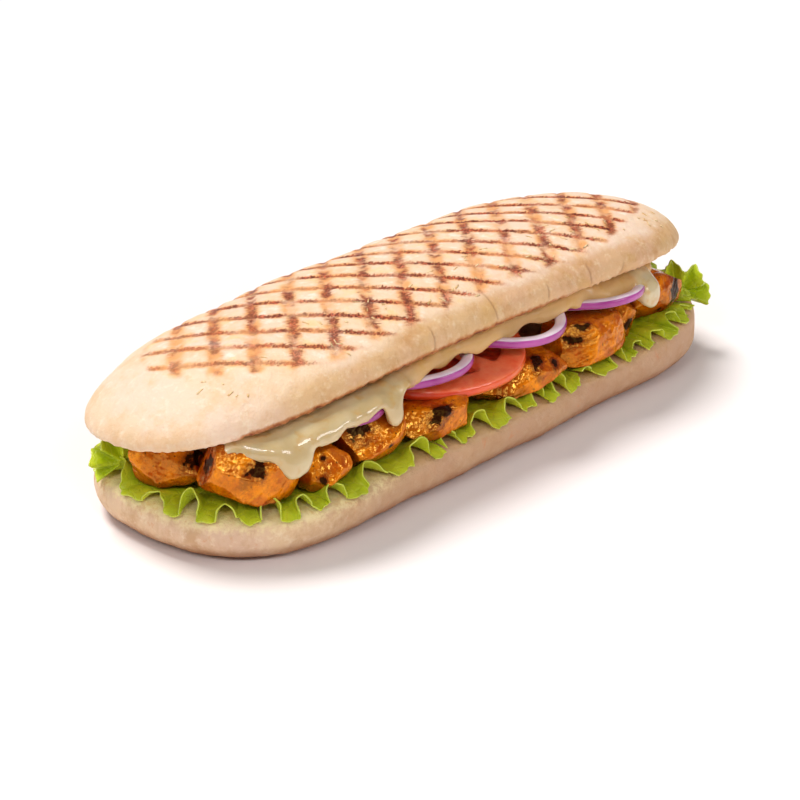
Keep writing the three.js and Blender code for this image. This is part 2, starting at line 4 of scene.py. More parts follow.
import bpy
import numpy as np
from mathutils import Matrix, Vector


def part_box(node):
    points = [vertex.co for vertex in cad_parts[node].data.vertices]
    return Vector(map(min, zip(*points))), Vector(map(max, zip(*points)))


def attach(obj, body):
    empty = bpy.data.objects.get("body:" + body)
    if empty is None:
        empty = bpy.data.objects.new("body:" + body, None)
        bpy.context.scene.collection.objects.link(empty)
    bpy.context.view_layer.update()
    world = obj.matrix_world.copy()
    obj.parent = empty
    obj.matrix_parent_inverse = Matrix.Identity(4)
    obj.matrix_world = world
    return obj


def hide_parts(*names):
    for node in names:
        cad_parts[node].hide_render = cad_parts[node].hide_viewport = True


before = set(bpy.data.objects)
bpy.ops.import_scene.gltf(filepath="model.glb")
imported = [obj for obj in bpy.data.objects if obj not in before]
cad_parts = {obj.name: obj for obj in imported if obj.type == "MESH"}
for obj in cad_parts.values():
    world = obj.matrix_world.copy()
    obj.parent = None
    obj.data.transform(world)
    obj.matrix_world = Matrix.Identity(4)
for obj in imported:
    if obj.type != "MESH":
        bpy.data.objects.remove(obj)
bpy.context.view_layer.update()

# A grilled turkey panini. Shapes are worked out in millimetres in the loaf's own frame:
# X along the loaf, the open front towards -Y, Z up, and moved to the row frame at the end.

MM = 0.001
X, Y, Z = 0, 1, 2

# -------------------- driving dimensions

BOTTOM = {"half_length": 140.0, "half_width": 52.6, "end_round": 54.9, "squareness": 2.36, "phase": 1.7}
TOP = {"half_length": 141.0, "half_width": 47.9, "end_round": 73.0, "squareness": 2.45, "phase": 4.1}
BOTTOM_THICKNESS = 18.0
BOTTOM_END_RISE = {"height": 4.5, "from": 50, "to": 140}
TOP_THICKNESS = 19.4
TOP_DOME_POWER = 2.15
SEAT = {
    "shift": (-2.8, 3.4, 47.5),
    "front_lift": 0.138,
    "end_lift": 0.007,
    "turn": -0.018,
    "droop": 8.4,
    "droop_length": 140.0,
}
LIP = {"sag": 2.1, "middle": 20.0, "half_length": 75.0}
CONTACT_GAP = 0.35

# Steps round a loaf outline: each quarter of the ends, each straight side, all of it.
END_STEPS = 8
SIDE_STEPS = 16
RING_STEPS = 4 * END_STEPS + 2 * SIDE_STEPS
STEP_LENGTH = 10.75

# The profile of the bottom half: inset, share of the cut face's height, offset.
BOTTOM_PROFILE = [
    (12, 0, 0),
    (5.5, 0, 1.5),
    (1.8, 0, 5.5),
    (0.4, 0, 10),
    (0.8, 1, -3.5),
    (2.6, 1, -1.2),
    (5, 1, -0.4),
    (16, 1, 0),
]

# The camera, as fitted to the photograph's outline.
CAMERA = {
    "azimuth": -47.4,
    "elevation": 25.25,
    "distance": 985.5,
    "aim": (-52.1, -42.4, 40.0),
    "focal_pixels": 2778.3,
}
IMAGE_SIZE = 800
SENSOR = 36.0

# -------------------- numbers and noise

# Whole numbers that scramble a lattice cell and a seed into one value.
HASH_PRIMES = (73856093, 19349663, 83492791)
HASH_SEED = 2654435761
HASH_MIX = 1274126177
HASH_MASK = 0xFFFFFFFF


def smooth(low, high, value):
    t = np.clip((value - low) / (high - low), 0, 1)
    return t * t * (3 - 2 * t)


def bell(value, centre, width):
    return np.exp(-(((value - centre) / width) ** 2))


def mix(a, b, t):
    return a + (b - a) * t


def lattice_noise(points, size, seed):
    """A smooth random field from -1 to 1 whose lumps are about size across."""
    place = np.asarray(points, float) / size
    cell = np.floor(place).astype(np.int64)
    part = place - cell
    part = part * part * (3 - 2 * part)
    total = np.zeros(len(place))
    for corner in itertools.product((0, 1), repeat=3):
        mixed = np.bitwise_xor.reduce((cell + corner) * HASH_PRIMES, axis=1) ^ (seed * HASH_SEED)
        mixed = (mixed ^ (mixed >> 13)) * HASH_MIX & HASH_MASK
        mixed = (mixed ^ (mixed >> 16)) & HASH_MASK
        weight = np.prod(np.where(np.array(corner) == 1, part, 1 - part), axis=1)
        total += (mixed / HASH_MASK * 2 - 1) * weight
    return total


def lumps(points, layers):
    """Relief from layers of noise, each with its height, size and seed."""
    return sum(height * lattice_noise(points, size, seed) for height, size, seed in layers)


def unevenness(x, y, z, phase):
    """How far the loaf swells out of its plain outline."""
    long_wave = 0.55 * np.sin(x / 19 + phase)
    short_wave = 0.35 * np.sin(x / 8.3 + y / 11 + 2 * phase)
    up_wave = 0.25 * np.sin(z / 4.5 + x / 13 + 3 * phase)
    return long_wave + short_wave + up_wave


def turned(points, axis, angle):
    """Points turned round the X, Y or Z axis."""
    c, s = math.cos(angle), math.sin(angle)
    first, second = (axis + 1) % 3, (axis + 2) % 3
    result = np.array(points, float)
    result[..., first] = c * points[..., first] - s * points[..., second]
    result[..., second] = s * points[..., first] + c * points[..., second]
    return result


# -------------------- loaf outline


def loaf_outline(loaf, step, inset):
    """Points of a loaf's outline at real-numbered steps, moved inwards by the insets."""
    step, inset = np.broadcast_arrays(np.asarray(step, float), np.asarray(inset, float))
    a = loaf["half_length"] - inset
    b = loaf["half_width"] - inset
    cap = np.minimum(a, loaf["end_round"] * (1 - inset / loaf["half_width"]))
    straight = a - cap
    k = np.mod(step, RING_STEPS)
    back_end = END_STEPS + SIDE_STEPS
    front_start = back_end + 2 * END_STEPS
    front_end = front_start + SIDE_STEPS
    quarters = k / END_STEPS
    quarters = np.where(k > back_end, (k - SIDE_STEPS) / END_STEPS, quarters)
    quarters = np.where(k > front_end, (k - 2 * SIDE_STEPS) / END_STEPS, quarters)
    c, s = np.cos(quarters * math.pi / 2), np.sin(quarters * math.pi / 2)
    bend = 2 / loaf["squareness"]
    x = np.sign(c) * (straight + cap * np.abs(c) ** bend)
    y = np.sign(s) * b * np.abs(s) ** bend
    on_back = (k >= END_STEPS) & (k <= back_end)
    on_front = (k >= front_start) & (k <= front_end)
    x = np.where(on_back, mix(straight, -straight, (k - END_STEPS) / SIDE_STEPS), x)
    y = np.where(on_back, b, y)
    x = np.where(on_front, mix(-straight, straight, (k - front_start) / SIDE_STEPS), x)
    y = np.where(on_front, -b, y)
    return x, y


def cut_face_height(x):
    rise = smooth(BOTTOM_END_RISE["from"], BOTTOM_END_RISE["to"], x)
    return BOTTOM_THICKNESS + BOTTOM_END_RISE["height"] * rise


def bottom_ring(step, inset, height_share, height_offset):
    """A ring of the bottom half: its height is a share of the cut face's plus an offset."""
    x, y = loaf_outline(BOTTOM, step, inset)
    z = height_share * cut_face_height(x) + height_offset
    x, y = loaf_outline(BOTTOM, step, inset - unevenness(x, y, z, BOTTOM["phase"]))
    return np.stack([x, y, z], axis=-1)


def seat_top(points):
    """From the top half's own flat frame to its place on the filling."""
    p = points.copy()
    p[..., Z] -= SEAT["droop"] * (p[..., X] / SEAT["droop_length"]) ** 2
    p = turned(p, X, -SEAT["front_lift"])
    p = turned(p, Y, -SEAT["end_lift"])
    p = turned(p, Z, SEAT["turn"])
    return p + np.array(SEAT["shift"])


def dome_height(inset):
    across = np.minimum(1, inset / TOP["half_width"])
    return TOP_THICKNESS * (1 - (1 - across) ** TOP_DOME_POWER) ** (1 / TOP_DOME_POWER)


def lip_sag(x, y):
    near_front = smooth(0.5, 0.95, -y / TOP["half_width"])
    return LIP["sag"] * near_front * bell(x, LIP["middle"], LIP["half_length"])


def ceiling(x, y):
    """Height of the top half's cut face over a place in the plan."""
    along = x - SEAT["shift"][X]
    across = y - SEAT["shift"][Y]
    droop = SEAT["droop"] * (along / SEAT["droop_length"]) ** 2
    lift = -across * math.tan(SEAT["front_lift"]) + along * math.tan(SEAT["end_lift"])
    return SEAT["shift"][Z] - droop + lift


def row_shift():
    """From the loaf's own frame to the row frame, in millimetres."""
    steps = np.arange(RING_STEPS)
    rings = np.concatenate([bottom_ring(steps, *row) for row in BOTTOM_PROFILE])
    own_middle = (rings.min(0) + rings.max(0)) / 2
    low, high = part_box("bread_bottom")
    row_middle = np.array((low + high) / 2) / MM
    return np.array([*(row_middle - own_middle)[:Z], 0.0])


SHIFT = row_shift()

# -------------------- meshes


def linked(name, data):
    obj = bpy.data.objects.new(name, data)
    bpy.context.scene.collection.objects.link(obj)
    return obj


def new_object(name, points, faces, material, attributes):
    """A smooth-shaded mesh object from points in millimetres in the loaf's own frame."""
    mesh = bpy.data.meshes.new(name)
    mesh.from_pydata((points + SHIFT) * MM, [], [tuple(map(int, f)) for f in faces])
    return finished(name, mesh, material, attributes)


def add_attributes(mesh, attributes):
    for key, values in attributes.items():
        values = np.asarray(values, np.float32)
        kind, field = ("FLOAT", "value") if values.ndim == 1 else ("FLOAT_VECTOR", "vector")
        mesh.attributes.new(key, kind, "POINT").data.foreach_set(field, values.ravel())


def finished(name, mesh, material, attributes):
    add_attributes(mesh, attributes)
    mesh.shade_smooth()
    mesh.materials.clear()
    mesh.materials.append(material)
    return linked(name, mesh)


def belongs(obj, slot, *nodes):
    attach(obj, "root")
    if nodes:
        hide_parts(*nodes)
    return obj


def rounded_profile(corners, spacing, rounds=3):
    """A polyline with its corners cut off, then evenly spaced by its first two columns."""
    line = np.array(corners, float)
    for _ in range(rounds):
        near, far = mix(line[:-1], line[1:], 0.25), mix(line[:-1], line[1:], 0.75)
        inner = np.stack([near, far], axis=1).reshape(-1, line.shape[1])
        line = np.concatenate([line[:1], inner[1:-1], line[-1:]])
    reach = np.linalg.norm(np.diff(line[:, :2], axis=0), axis=1)
    length = np.concatenate([[0], np.cumsum(reach)])
    count = max(2, int(round(length[-1] / spacing)))
    even = np.linspace(0, length[-1], count + 1)
    return np.stack([np.interp(even, length, column) for column in line.T], axis=1)


def grid_faces(rows, columns, closed):
    """Quads of a grid of points laid out row by row."""
    last = columns if closed else columns - 1
    r, c = np.meshgrid(np.arange(rows - 1), np.arange(last), indexing="ij")
    a = r * columns + c
    b = r * columns + (c + 1) % columns
    return np.stack([a, b, b + columns, a + columns], axis=-1).reshape(-1, 4)


def cap_faces(base, columns, faces_up):
    """Closes a ring from its front to its back."""
    k = np.arange(1, columns // 2 - 1)
    quads = base + np.stack([k, k + 1, columns - k - 1, columns - k], axis=-1)
    half = base + columns // 2
    ends = [[base, base + 1, base + columns - 1], [half, half + 1, half - 1]]
    faces = [list(q) for q in quads] + ends
    return faces if faces_up else [f[::-1] for f in faces]


def loaf_faces(rows, columns):
    """Faces of a stack of rings, closed below and above."""
    faces = list(grid_faces(rows, columns, True))
    faces += cap_faces(0, columns, False)
    return faces + cap_faces((rows - 1) * columns, columns, True)


def outward(points, rows, columns):
    """Normals of a stack of rings, pointing out of the loaf."""
    grid = points.reshape(rows, columns, 3)
    around = np.roll(grid, -1, axis=1) - np.roll(grid, 1, axis=1)
    upward = np.gradient(grid, axis=0)
    normal = np.cross(around, upward)
    normal /= np.maximum(np.linalg.norm(normal, axis=-1, keepdims=True), 1e-9)
    return normal.reshape(-1, 3)


def vectors(collection, field):
    values = np.zeros(len(collection) * 3, np.float32)
    collection.foreach_get(field, values)
    return values.reshape(-1, 3)


def vertex_places(mesh):
    """A mesh's vertices in millimetres in the loaf's own frame."""
    return vectors(mesh.vertices, "co") / MM - SHIFT


def set_places(mesh, points):
    mesh.vertices.foreach_set("co", ((points + SHIFT) * MM).astype(np.float32).ravel())
    mesh.update()


def swollen(mesh, out):
    """Moves a mesh's vertices along their normals and gives their new places."""
    points = vertex_places(mesh) + vectors(mesh.vertex_normals, "vector") * out[:, None]
    set_places(mesh, points)
    return points


def remeshed(mesh, voxel, smoothing):
    """The mesh rebuilt from even voxels and smoothed."""
    obj = linked("remesh", mesh)
    remesh = obj.modifiers.new("voxels", "REMESH")
    remesh.mode = "VOXEL"
    remesh.voxel_size = voxel * MM
    soften = obj.modifiers.new("soften", "SMOOTH")
    soften.factor = 0.5
    soften.iterations = smoothing
    evaluated = obj.evaluated_get(bpy.context.evaluated_depsgraph_get())
    result = bpy.data.meshes.new_from_object(evaluated)
    bpy.data.objects.remove(obj)
    return result


# -------------------- shader building


class Look:
    """A node material under construction, with the colour laid so far.

    A grain is a noise's size, detail, roughness and distortion. Patches rise over a window of it.
    """

    def __init__(self, name):
        self.material = bpy.data.materials.new(name)
        self.material.use_nodes = True
        self.tree = self.material.node_tree
        self.shader = self.tree.nodes["Principled BSDF"]
        self.place = self.attribute("place", "Vector")
        self.colour = None

    def put(self, socket, value):
        if isinstance(value, bpy.types.NodeSocket):
            self.tree.links.new(value, socket)
        elif isinstance(value, (tuple, list)) and len(value) == 3 and socket.type == "RGBA":
            socket.default_value = (*value, 1)
        else:
            socket.default_value = value

    def node(self, kind, inputs=None, **settings):
        made = self.tree.nodes.new(kind)
        for name, value in settings.items():
            setattr(made, name, value)
        for name, value in (inputs or {}).items():
            self.put(made.inputs[name], value)
        return made

    def attribute(self, name, output="Fac"):
        return self.node("ShaderNodeAttribute", attribute_name=name).outputs[output]

    def coordinate(self, axis):
        return self.node("ShaderNodeSeparateXYZ", {0: self.place}).outputs[axis]

    def math(self, operation, a, b=0.0, c=0.0):
        return self.node("ShaderNodeMath", {0: a, 1: b, 2: c}, operation=operation).outputs[0]

    def times(self, a, b):
        return self.math("MULTIPLY", a, b)

    def times_plus(self, a, factor, b):
        return self.math("MULTIPLY_ADD", a, factor, b)

    def vector(self, operation, a, b=(0, 0, 0), output="Vector"):
        return self.node("ShaderNodeVectorMath", {0: a, 1: b}, operation=operation).outputs[output]

    def noise(self, size, detail=2.0, roughness=0.5, distortion=0.0, place=None):
        """Noise around 0.5 with lumps about size across, in the units of place."""
        inputs = {"Vector": self.place if place is None else place, "Scale": 1 / size,
                  "Detail": detail, "Roughness": roughness, "Distortion": distortion}
        return self.node("ShaderNodeTexNoise", inputs).outputs[0]

    def cells(self, size, feature="F1"):
        inputs = {"Vector": self.place, "Scale": 1 / size}
        return self.node("ShaderNodeTexVoronoi", inputs, feature=feature).outputs["Distance"]

    def ramp(self, value, low, high, out_low=0.0, out_high=1.0):
        inputs = {"Value": value, "From Min": low, "From Max": high, "To Min": out_low, "To Max": out_high}
        return self.node("ShaderNodeMapRange", inputs, interpolation_type="SMOOTHSTEP").outputs[0]

    def patches(self, grain, window, share=1.0, least=0.0, place=None):
        """Soft patches of noise, from least between them to share inside them."""
        return self.ramp(self.noise(*grain, place=place), *window, least, share)

    def uneven(self, value, grain, reach, place=None):
        """The value moved up or down by noise, half the reach each way at most."""
        jitter = self.times_plus(self.noise(*grain, place=place), reach, -reach / 2)
        return self.math("ADD", value, jitter)

    def mix(self, share, a, b):
        made = self.node("ShaderNodeMix", data_type="RGBA")
        self.put(made.inputs[0], share)
        self.put(made.inputs[6], a)
        self.put(made.inputs[7], b)
        return made.outputs[2]

    def two_tone(self, grain, window, first, second):
        """A colour that drifts between two."""
        return self.mix(self.patches(grain, window), first, second)

    def lay(self, share, colour):
        """Lays a colour over what is there."""
        self.colour = self.mix(share, self.colour, colour)

    def lay_patches(self, grain, window, share, colour, where=None, place=None):
        """Lays a colour in soft patches, only where asked."""
        patches = self.patches(grain, window, share, place=place)
        self.lay(patches if where is None else self.times(where, patches), colour)

    def bump(self, height, distance, strength):
        inputs = {"Height": height, "Distance": distance * MM, "Strength": strength}
        return self.node("ShaderNodeBump", inputs).outputs[0]

    def finish(self, **inputs):
        """Sets the shader's inputs under the names they have there and gives the material."""
        self.put(self.shader.inputs["Base Color"], self.colour)
        for name, value in inputs.items():
            self.put(self.shader.inputs[name.replace("_", " ")], value)
        return self.material


# -------------------- bread

# Crust colours. Those on top and down the sides are the ground, its pinkish drift, tan patches
# and light flecks.
TOP_CRUST = {
    "top": [(0.84, 0.62, 0.42), (0.85, 0.63, 0.48), (0.81, 0.53, 0.31), (0.91, 0.76, 0.60)],
    "sides": [(0.74, 0.47, 0.24), (0.72, 0.43, 0.25), (0.60, 0.31, 0.12), (0.86, 0.65, 0.42)],
    "ochre": (0.66, 0.38, 0.12),
    "blush": (0.93, 0.62, 0.42),
    "golden": (0.89, 0.61, 0.27),
    "floury": (0.95, 0.83, 0.71),
    "mark_halo": (0.84, 0.40, 0.15),
    "mark_red": (0.70, 0.125, 0.048),
    "mark_brown": (0.31, 0.036, 0.015),
    "mark_black": (0.07, 0.014, 0.010),
    "lip": (0.46, 0.15, 0.035),
    "lip_burnt": (0.16, 0.03, 0.012),
    "crease": (0.30, 0.12, 0.045),
}
BOTTOM_CRUST = {
    "top": [(0.88, 0.69, 0.38), (0.84, 0.61, 0.36), (0.76, 0.50, 0.19), (0.94, 0.80, 0.52)],
    "sides": [(0.78, 0.55, 0.34), (0.74, 0.50, 0.35), (0.60, 0.36, 0.19), (0.90, 0.74, 0.53)],
    "painted_shade_tan": (0.54, 0.30, 0.165),
    "rust": (0.66, 0.27, 0.12),
    "sole_and_shade": (0.40, 0.16, 0.06),
    "torn": (0.90, 0.74, 0.40),
    "toast": (0.62, 0.34, 0.16),
}
SIDE_STREAKS = {"shade": (0.50, 0.24, 0.09), "light": (0.86, 0.67, 0.44), "squeeze": 0.40}

BOTTOM_MESH = {"columns": 960, "spacing": 1.0}
TOP_MESH = {"columns": 1400, "spacing": 0.8}
BOTTOM_LUMPS = [(0.35, 9, 5), (0.16, 3.1, 6)]
TOP_LUMPS = [(0.28, 11, 1), (0.12, 3.4, 2)]
TORN_EDGE = [(0.35, 2.7, 31), (0.30, 1.2, 32)]

# The profile of the top half: inset, height and share of the lip's sag, then insets of the dome.
TOP_LIP = [(6, 0, 0.3), (1.4, 0, 1), (0.1, 1.3, 0.9)]
DOME_INSETS = [0.7, 1.6, 3, 5, 7.2, 10, 14, 19, 25, 32, 39, 46.5]

# Grill marks on the top half's own plan: how far apart, the way across them, where one lies,
# and how far from a mark's middle its dark core and its soft halo begin and end.
MARKS_ALONG = {
    "pitch": 13.2, "across": (0.866, 0.5), "one_at": -1.0,
    "core": (1.9, 0.6), "halo": (3.8, 0.9),
}
MARKS_CROSS = {
    "pitch": 13.9, "across": (0.7402, -0.6724), "one_at": 1.82,
    "core": (2.6, 0.8), "halo": (4.6, 1.4),
}
MARK_GROOVE = {"depth": 0.55, "half_width": 1.6}
# Short dark strokes lie across the marks.
MARK_STROKE = {"thickness": 0.9, "length": 3.2, "reach": 6.0}

# The marks bend where the crust falls away from the height that the plates pressed flat.
MARK_BEND = {"height": 15.0, "x": 1.1, "y": 1.01}

# Upright creases in the front side of the top half: place along the loaf, height, lean.
CREASES = [(-31, 9.5, 0.8), (4, 13, -0.3), (31, 7, 0.9), (56, 9, 0.2), (72, 5, 2.0)]
CREASE = {"depth": 0.35, "half_width": 0.45}


def mark_place(points):
    """Places on the crust, moved as the marks bend over its shoulders."""
    fall = points[:, Z] - MARK_BEND["height"]
    bend = np.stack([MARK_BEND["x"] * fall, MARK_BEND["y"] * fall, 0 * fall], axis=-1)
    return points + bend


def mark_distance(marks, place):
    """How far a place on the plan is from the nearest line of a set of grill marks."""
    over = place[:, X] * marks["across"][X] + place[:, Y] * marks["across"][Y] - marks["one_at"]
    return np.abs(np.mod(over + marks["pitch"] / 2, marks["pitch"]) - marks["pitch"] / 2)


def press_depth(x, inset):
    """Millimetres inside the line up to which the hot plates touched the crust."""
    edge = 6.5 + 9 * smooth(60, 115, np.abs(x)) + 8 * smooth(85, 122, -x)
    return inset - edge


def mark_strength(look, pressed, contact, marks):
    """Dark core and soft halo of one set of grill marks, with short strokes across it."""
    across_x, across_y = marks["across"]
    over = look.vector("DOT_PRODUCT", pressed, (across_x, across_y, 0), "Value")
    along = look.vector("DOT_PRODUCT", pressed, (-across_y, across_x, 0), "Value")
    wandering = look.uneven(over, (15, 2), 2.4, pressed)
    wandering = look.math("SUBTRACT", wandering, marks["one_at"])
    distance = look.math("PINGPONG", wandering, marks["pitch"] / 2)
    stroke = {
        X: look.math("DIVIDE", along, MARK_STROKE["thickness"]),
        Y: look.math("DIVIDE", over, MARK_STROKE["length"]),
    }
    stroke_place = look.node("ShaderNodeCombineXYZ", stroke).outputs[0]
    soft = look.uneven(distance, (2.6, 2), 1.6, pressed)
    rough = look.uneven(soft, (1, 2, 0.6, 0.5), MARK_STROKE["reach"], stroke_place)
    core = look.times(contact, look.ramp(rough, *marks["core"]))
    return core, look.times(contact, look.ramp(soft, *marks["halo"]))


def lay_crust(look, side, colours):
    """The crust of both halves, mottled and streaked: pale on top, tan down the sides (on the top half
    partly painted shade).
    """
    drift = look.patches((34, 2), (0.36, 0.64))
    tan_patches = look.patches((10, 4, 0.65), (0.44, 0.68), 0.8)
    flecks = look.patches((3.4, 4, 0.7), (0.50, 0.74), 0.65)
    shades = []
    for pale, pink, tan, light in (colours["top"], colours["sides"]):
        shade = look.mix(drift, pale, pink)
        shade = look.mix(tan_patches, shade, tan)
        shades.append(look.mix(flecks, shade, light))
    look.colour = look.mix(side, *shades)
    # Upright streaks, where the dough stretched as it rose.
    upright = look.vector("MULTIPLY", look.place, (1, 1, SIDE_STREAKS["squeeze"]))
    sides = look.attribute("side")
    look.lay_patches((5.2, 4, 0.65), (0.50, 0.72), 0.30, SIDE_STREAKS["shade"], sides, upright)
    look.lay_patches((3.4, 4, 0.65), (0.58, 0.76), 0.30, SIDE_STREAKS["light"], sides, upright)


def crust_material(look, roughness, relief=None):
    height = look.times_plus(look.noise(0.9, 3, 0.6), 0.25, look.noise(4.5, 5, 0.6))
    if relief is not None:
        height = look.math("ADD", height, relief)
    return look.finish(
        Roughness=roughness, Normal=look.bump(height, 0.8, 0.9), Specular_IOR_Level=0.25,
        Subsurface_Weight=0.08, Subsurface_Scale=0.003, Subsurface_Radius=(1.0, 0.5, 0.25),
    )


def top_crust_look():
    look = Look("top_crust")
    sides = look.attribute("side")
    lay_crust(look, look.ramp(look.uneven(sides, (12, 2), 0.5), 0.15, 0.75), TOP_CRUST)
    look.lay_patches((14, 3, 0.6), (0.52, 0.70), 0.5, TOP_CRUST["ochre"], sides)

    contact = look.ramp(look.uneven(look.attribute("contact"), (8, 2), 5.0), -1.6, 2.4)
    pressed = look.attribute("pressed_place", "Vector")
    along_core, along_halo = mark_strength(look, pressed, contact, MARKS_ALONG)
    cross_core, cross_halo = mark_strength(look, pressed, contact, MARKS_CROSS)
    look.lay_patches((21, 2), (0.35, 0.70), 0.4, TOP_CRUST["blush"], contact)
    look.lay_patches((8, 3, 0.6), (0.50, 0.68), 0.55, TOP_CRUST["golden"], contact)
    look.lay_patches((5.5, 3, 0.6), (0.52, 0.70), 0.6, TOP_CRUST["floury"], contact)

    halo = look.math("MAXIMUM", along_halo, cross_halo)
    look.lay(look.times(halo, look.patches((7, 2), (0.30, 0.65), 1.0, 0.3)), TOP_CRUST["mark_halo"])
    along_core = look.times(along_core, look.patches((12, 2), (0.34, 0.58), 1.0, 0.35))
    cross_core = look.times(cross_core, look.patches((9, 2), (0.40, 0.60), 0.9, 0.08))
    fainter_left = look.ramp(look.coordinate(X), -115, -50, 0.6, 1.0)
    browned = look.times(look.math("MAXIMUM", along_core, cross_core), fainter_left)
    brown = look.two_tone((4, 3), (0.35, 0.65), TOP_CRUST["mark_red"], TOP_CRUST["mark_brown"])
    look.lay(look.times(browned, 0.92), brown)
    flakes = look.patches((0.8, 2, 0.7), (0.46, 0.60))
    black = look.times(look.math("POWER", browned, 3), flakes)
    look.lay(look.times(black, 0.75), TOP_CRUST["mark_black"])

    lip = look.uneven(look.attribute("lip"), (3.2, 3, 0.7), 1.1)
    look.lay(look.ramp(lip, 0.30, 0.85, 0.0, 0.9), TOP_CRUST["lip"])
    look.lay(look.ramp(lip, 0.80, 1.10, 0.0, 0.8), TOP_CRUST["lip_burnt"])
    # Painted shade: the creases are laid darker.
    look.lay(look.times(look.attribute("crease"), 0.5), TOP_CRUST["crease"])

    relief = look.times(browned, look.times_plus(flakes, 0.9, -0.4))
    return crust_material(look, look.ramp(browned, 0, 1, 0.6, 0.45), relief)


def bottom_crust_look():
    look = Look("bottom_crust")
    lay_crust(look, look.attribute("side"), BOTTOM_CRUST)
    # Painted shade: the crust turns darker and more tan towards the right end, which lies in shade.
    look.lay(look.ramp(look.coordinate(X), -120, -62, 0.0, 0.7), BOTTOM_CRUST["painted_shade_tan"])
    look.lay_patches((8, 5, 0.75), (0.58, 0.72), 0.6, BOTTOM_CRUST["rust"])
    # Darker towards the floor: the loaf's browned sole together with painted shade along its lower edge.
    sole_and_shade = look.uneven(look.coordinate(Z), (7, 3, 0.6), 6.0)
    look.lay(look.ramp(sole_and_shade, 8.5, 2.5, 0.0, 0.85), BOTTOM_CRUST["sole_and_shade"])
    torn = look.attribute("torn")
    look.lay_patches((3.4, 4, 0.7), (0.38, 0.58), 0.8, BOTTOM_CRUST["torn"], torn)
    toast = look.uneven(look.attribute("lip"), (5, 3, 0.7), 1.2)
    look.lay(look.ramp(toast, 0.6, 1.2, 0.0, 0.5), BOTTOM_CRUST["toast"])
    return crust_material(look, 0.6)


def bread_bottom():
    columns = BOTTOM_MESH["columns"]
    steps = np.arange(columns) / columns * RING_STEPS
    # Inset and height come first, so that the profile is spaced evenly by them.
    line = [
        (inset, share * BOTTOM_THICKNESS + offset, share, offset)
        for inset, share, offset in BOTTOM_PROFILE
    ]
    profile = rounded_profile(line, BOTTOM_MESH["spacing"])
    rings = [bottom_ring(steps, inset, share, offset) for inset, _, share, offset in profile]
    points = np.concatenate(rings)
    normals = outward(points, len(profile), columns)
    out = lumps(points, BOTTOM_LUMPS) * smooth(0.0, 2.5, points[:, Z])
    points = points + normals * out[:, None]
    below_cut = cut_face_height(points[:, X]) - points[:, Z]
    torn = bell(below_cut, 2.0, 2.4) * smooth(-45, -75, points[:, X])
    attributes = {
        "place": points,
        "lip": smooth(4.0, 1.0, below_cut) * (1 - torn),
        "side": smooth(0.75, 0.3, normals[:, Z]),
        "torn": torn,
    }
    faces = loaf_faces(len(profile), columns)
    obj = new_object("bread_bottom_crust", points, faces, bottom_crust_look(), attributes)
    belongs(obj, "bread", "bread_bottom")


def top_ring(steps, inset, z, sag_share):
    """A ring of the top half in its own flat frame."""
    x, y = loaf_outline(TOP, steps, inset)
    reach = unevenness(x, y, z, TOP["phase"]) * smooth(-1, 3, z)
    used = np.minimum(inset - 0.8 * reach, TOP["half_width"] - 1)
    px, py = loaf_outline(TOP, steps, used)
    return np.stack([px, py, z + 0.4 * reach - sag_share * lip_sag(x, y)], axis=-1)


def above_lip(points):
    return points[:, Z] + lip_sag(points[:, X], points[:, Y])


def top_relief(points, inset, crease):
    """How far the top crust stands out: lumps, pressed grooves, creases and a torn edge."""
    above = smooth(1.5, 5, points[:, Z])
    pressed = smooth(-1.5, 2.5, press_depth(points[:, X], inset)) * above
    marked = mark_place(points)
    along, cross = mark_distance(MARKS_ALONG, marked), mark_distance(MARKS_CROSS, marked)
    groove = pressed * bell(np.minimum(along, cross + 0.2), 0, MARK_GROOVE["half_width"])
    torn = lumps(points, TORN_EDGE) * bell(above_lip(points), 0.5, 1.4) * smooth(9, 3, inset)
    sunk = MARK_GROOVE["depth"] * groove + CREASE["depth"] * crease
    return lumps(points, TOP_LUMPS) * above - sunk + torn


def crease_strength(points):
    x, y, z = points.T
    total = np.zeros(len(points))
    for place, height, lean in CREASES:
        line = place + lean * np.sin(z / 3.1) + lean * z / 8
        shape = bell(x, line, CREASE["half_width"]) * smooth(height, height * 0.6, z)
        total = np.maximum(total, shape)
    return total * smooth(-30, -42, y) * smooth(-0.2, 0.6, z)


def bread_top():
    columns = TOP_MESH["columns"]
    steps = np.arange(columns) / columns * RING_STEPS
    corners = TOP_LIP + [(inset, float(dome_height(inset)), 0) for inset in DOME_INSETS]
    profile = rounded_profile(corners, TOP_MESH["spacing"])
    points = np.concatenate([top_ring(steps, *row) for row in profile])
    inset = np.repeat(profile[:, 0], columns)
    normals = outward(points, len(profile), columns)
    crease = crease_strength(points)
    # The sides take the darker tan colours by how far they turn from upright. This is partly the crust's
    # own tan and partly painted shade on sides that face away from the key lamp. Towards the left end,
    # which the key lamp lights, they stay paler: painted light.
    side = smooth(0.98, 0.52, normals[:, Z]) * (0.32 + 0.68 * smooth(-125, -62, points[:, X]))
    points = points + normals * top_relief(points, inset, crease)[:, None]
    x, y, _ = points.T
    on_edge = bell(above_lip(points), 0.9, 1.3) * smooth(7, 3, inset)
    toasted = smooth(-128, -112, x) * smooth(60, 20, x) * smooth(-20, -40, y)
    attributes = {
        "place": points,
        "pressed_place": mark_place(points),
        "side": side,
        "contact": press_depth(x, inset),
        "lip": on_edge * (0.25 + 0.75 * toasted),
        "crease": crease,
    }
    faces = loaf_faces(len(profile), columns)
    obj = new_object("bread_top_crust", seat_top(points), faces, top_crust_look(), attributes)
    return belongs(obj, "bread", "bread_top")


# -------------------- crumbs

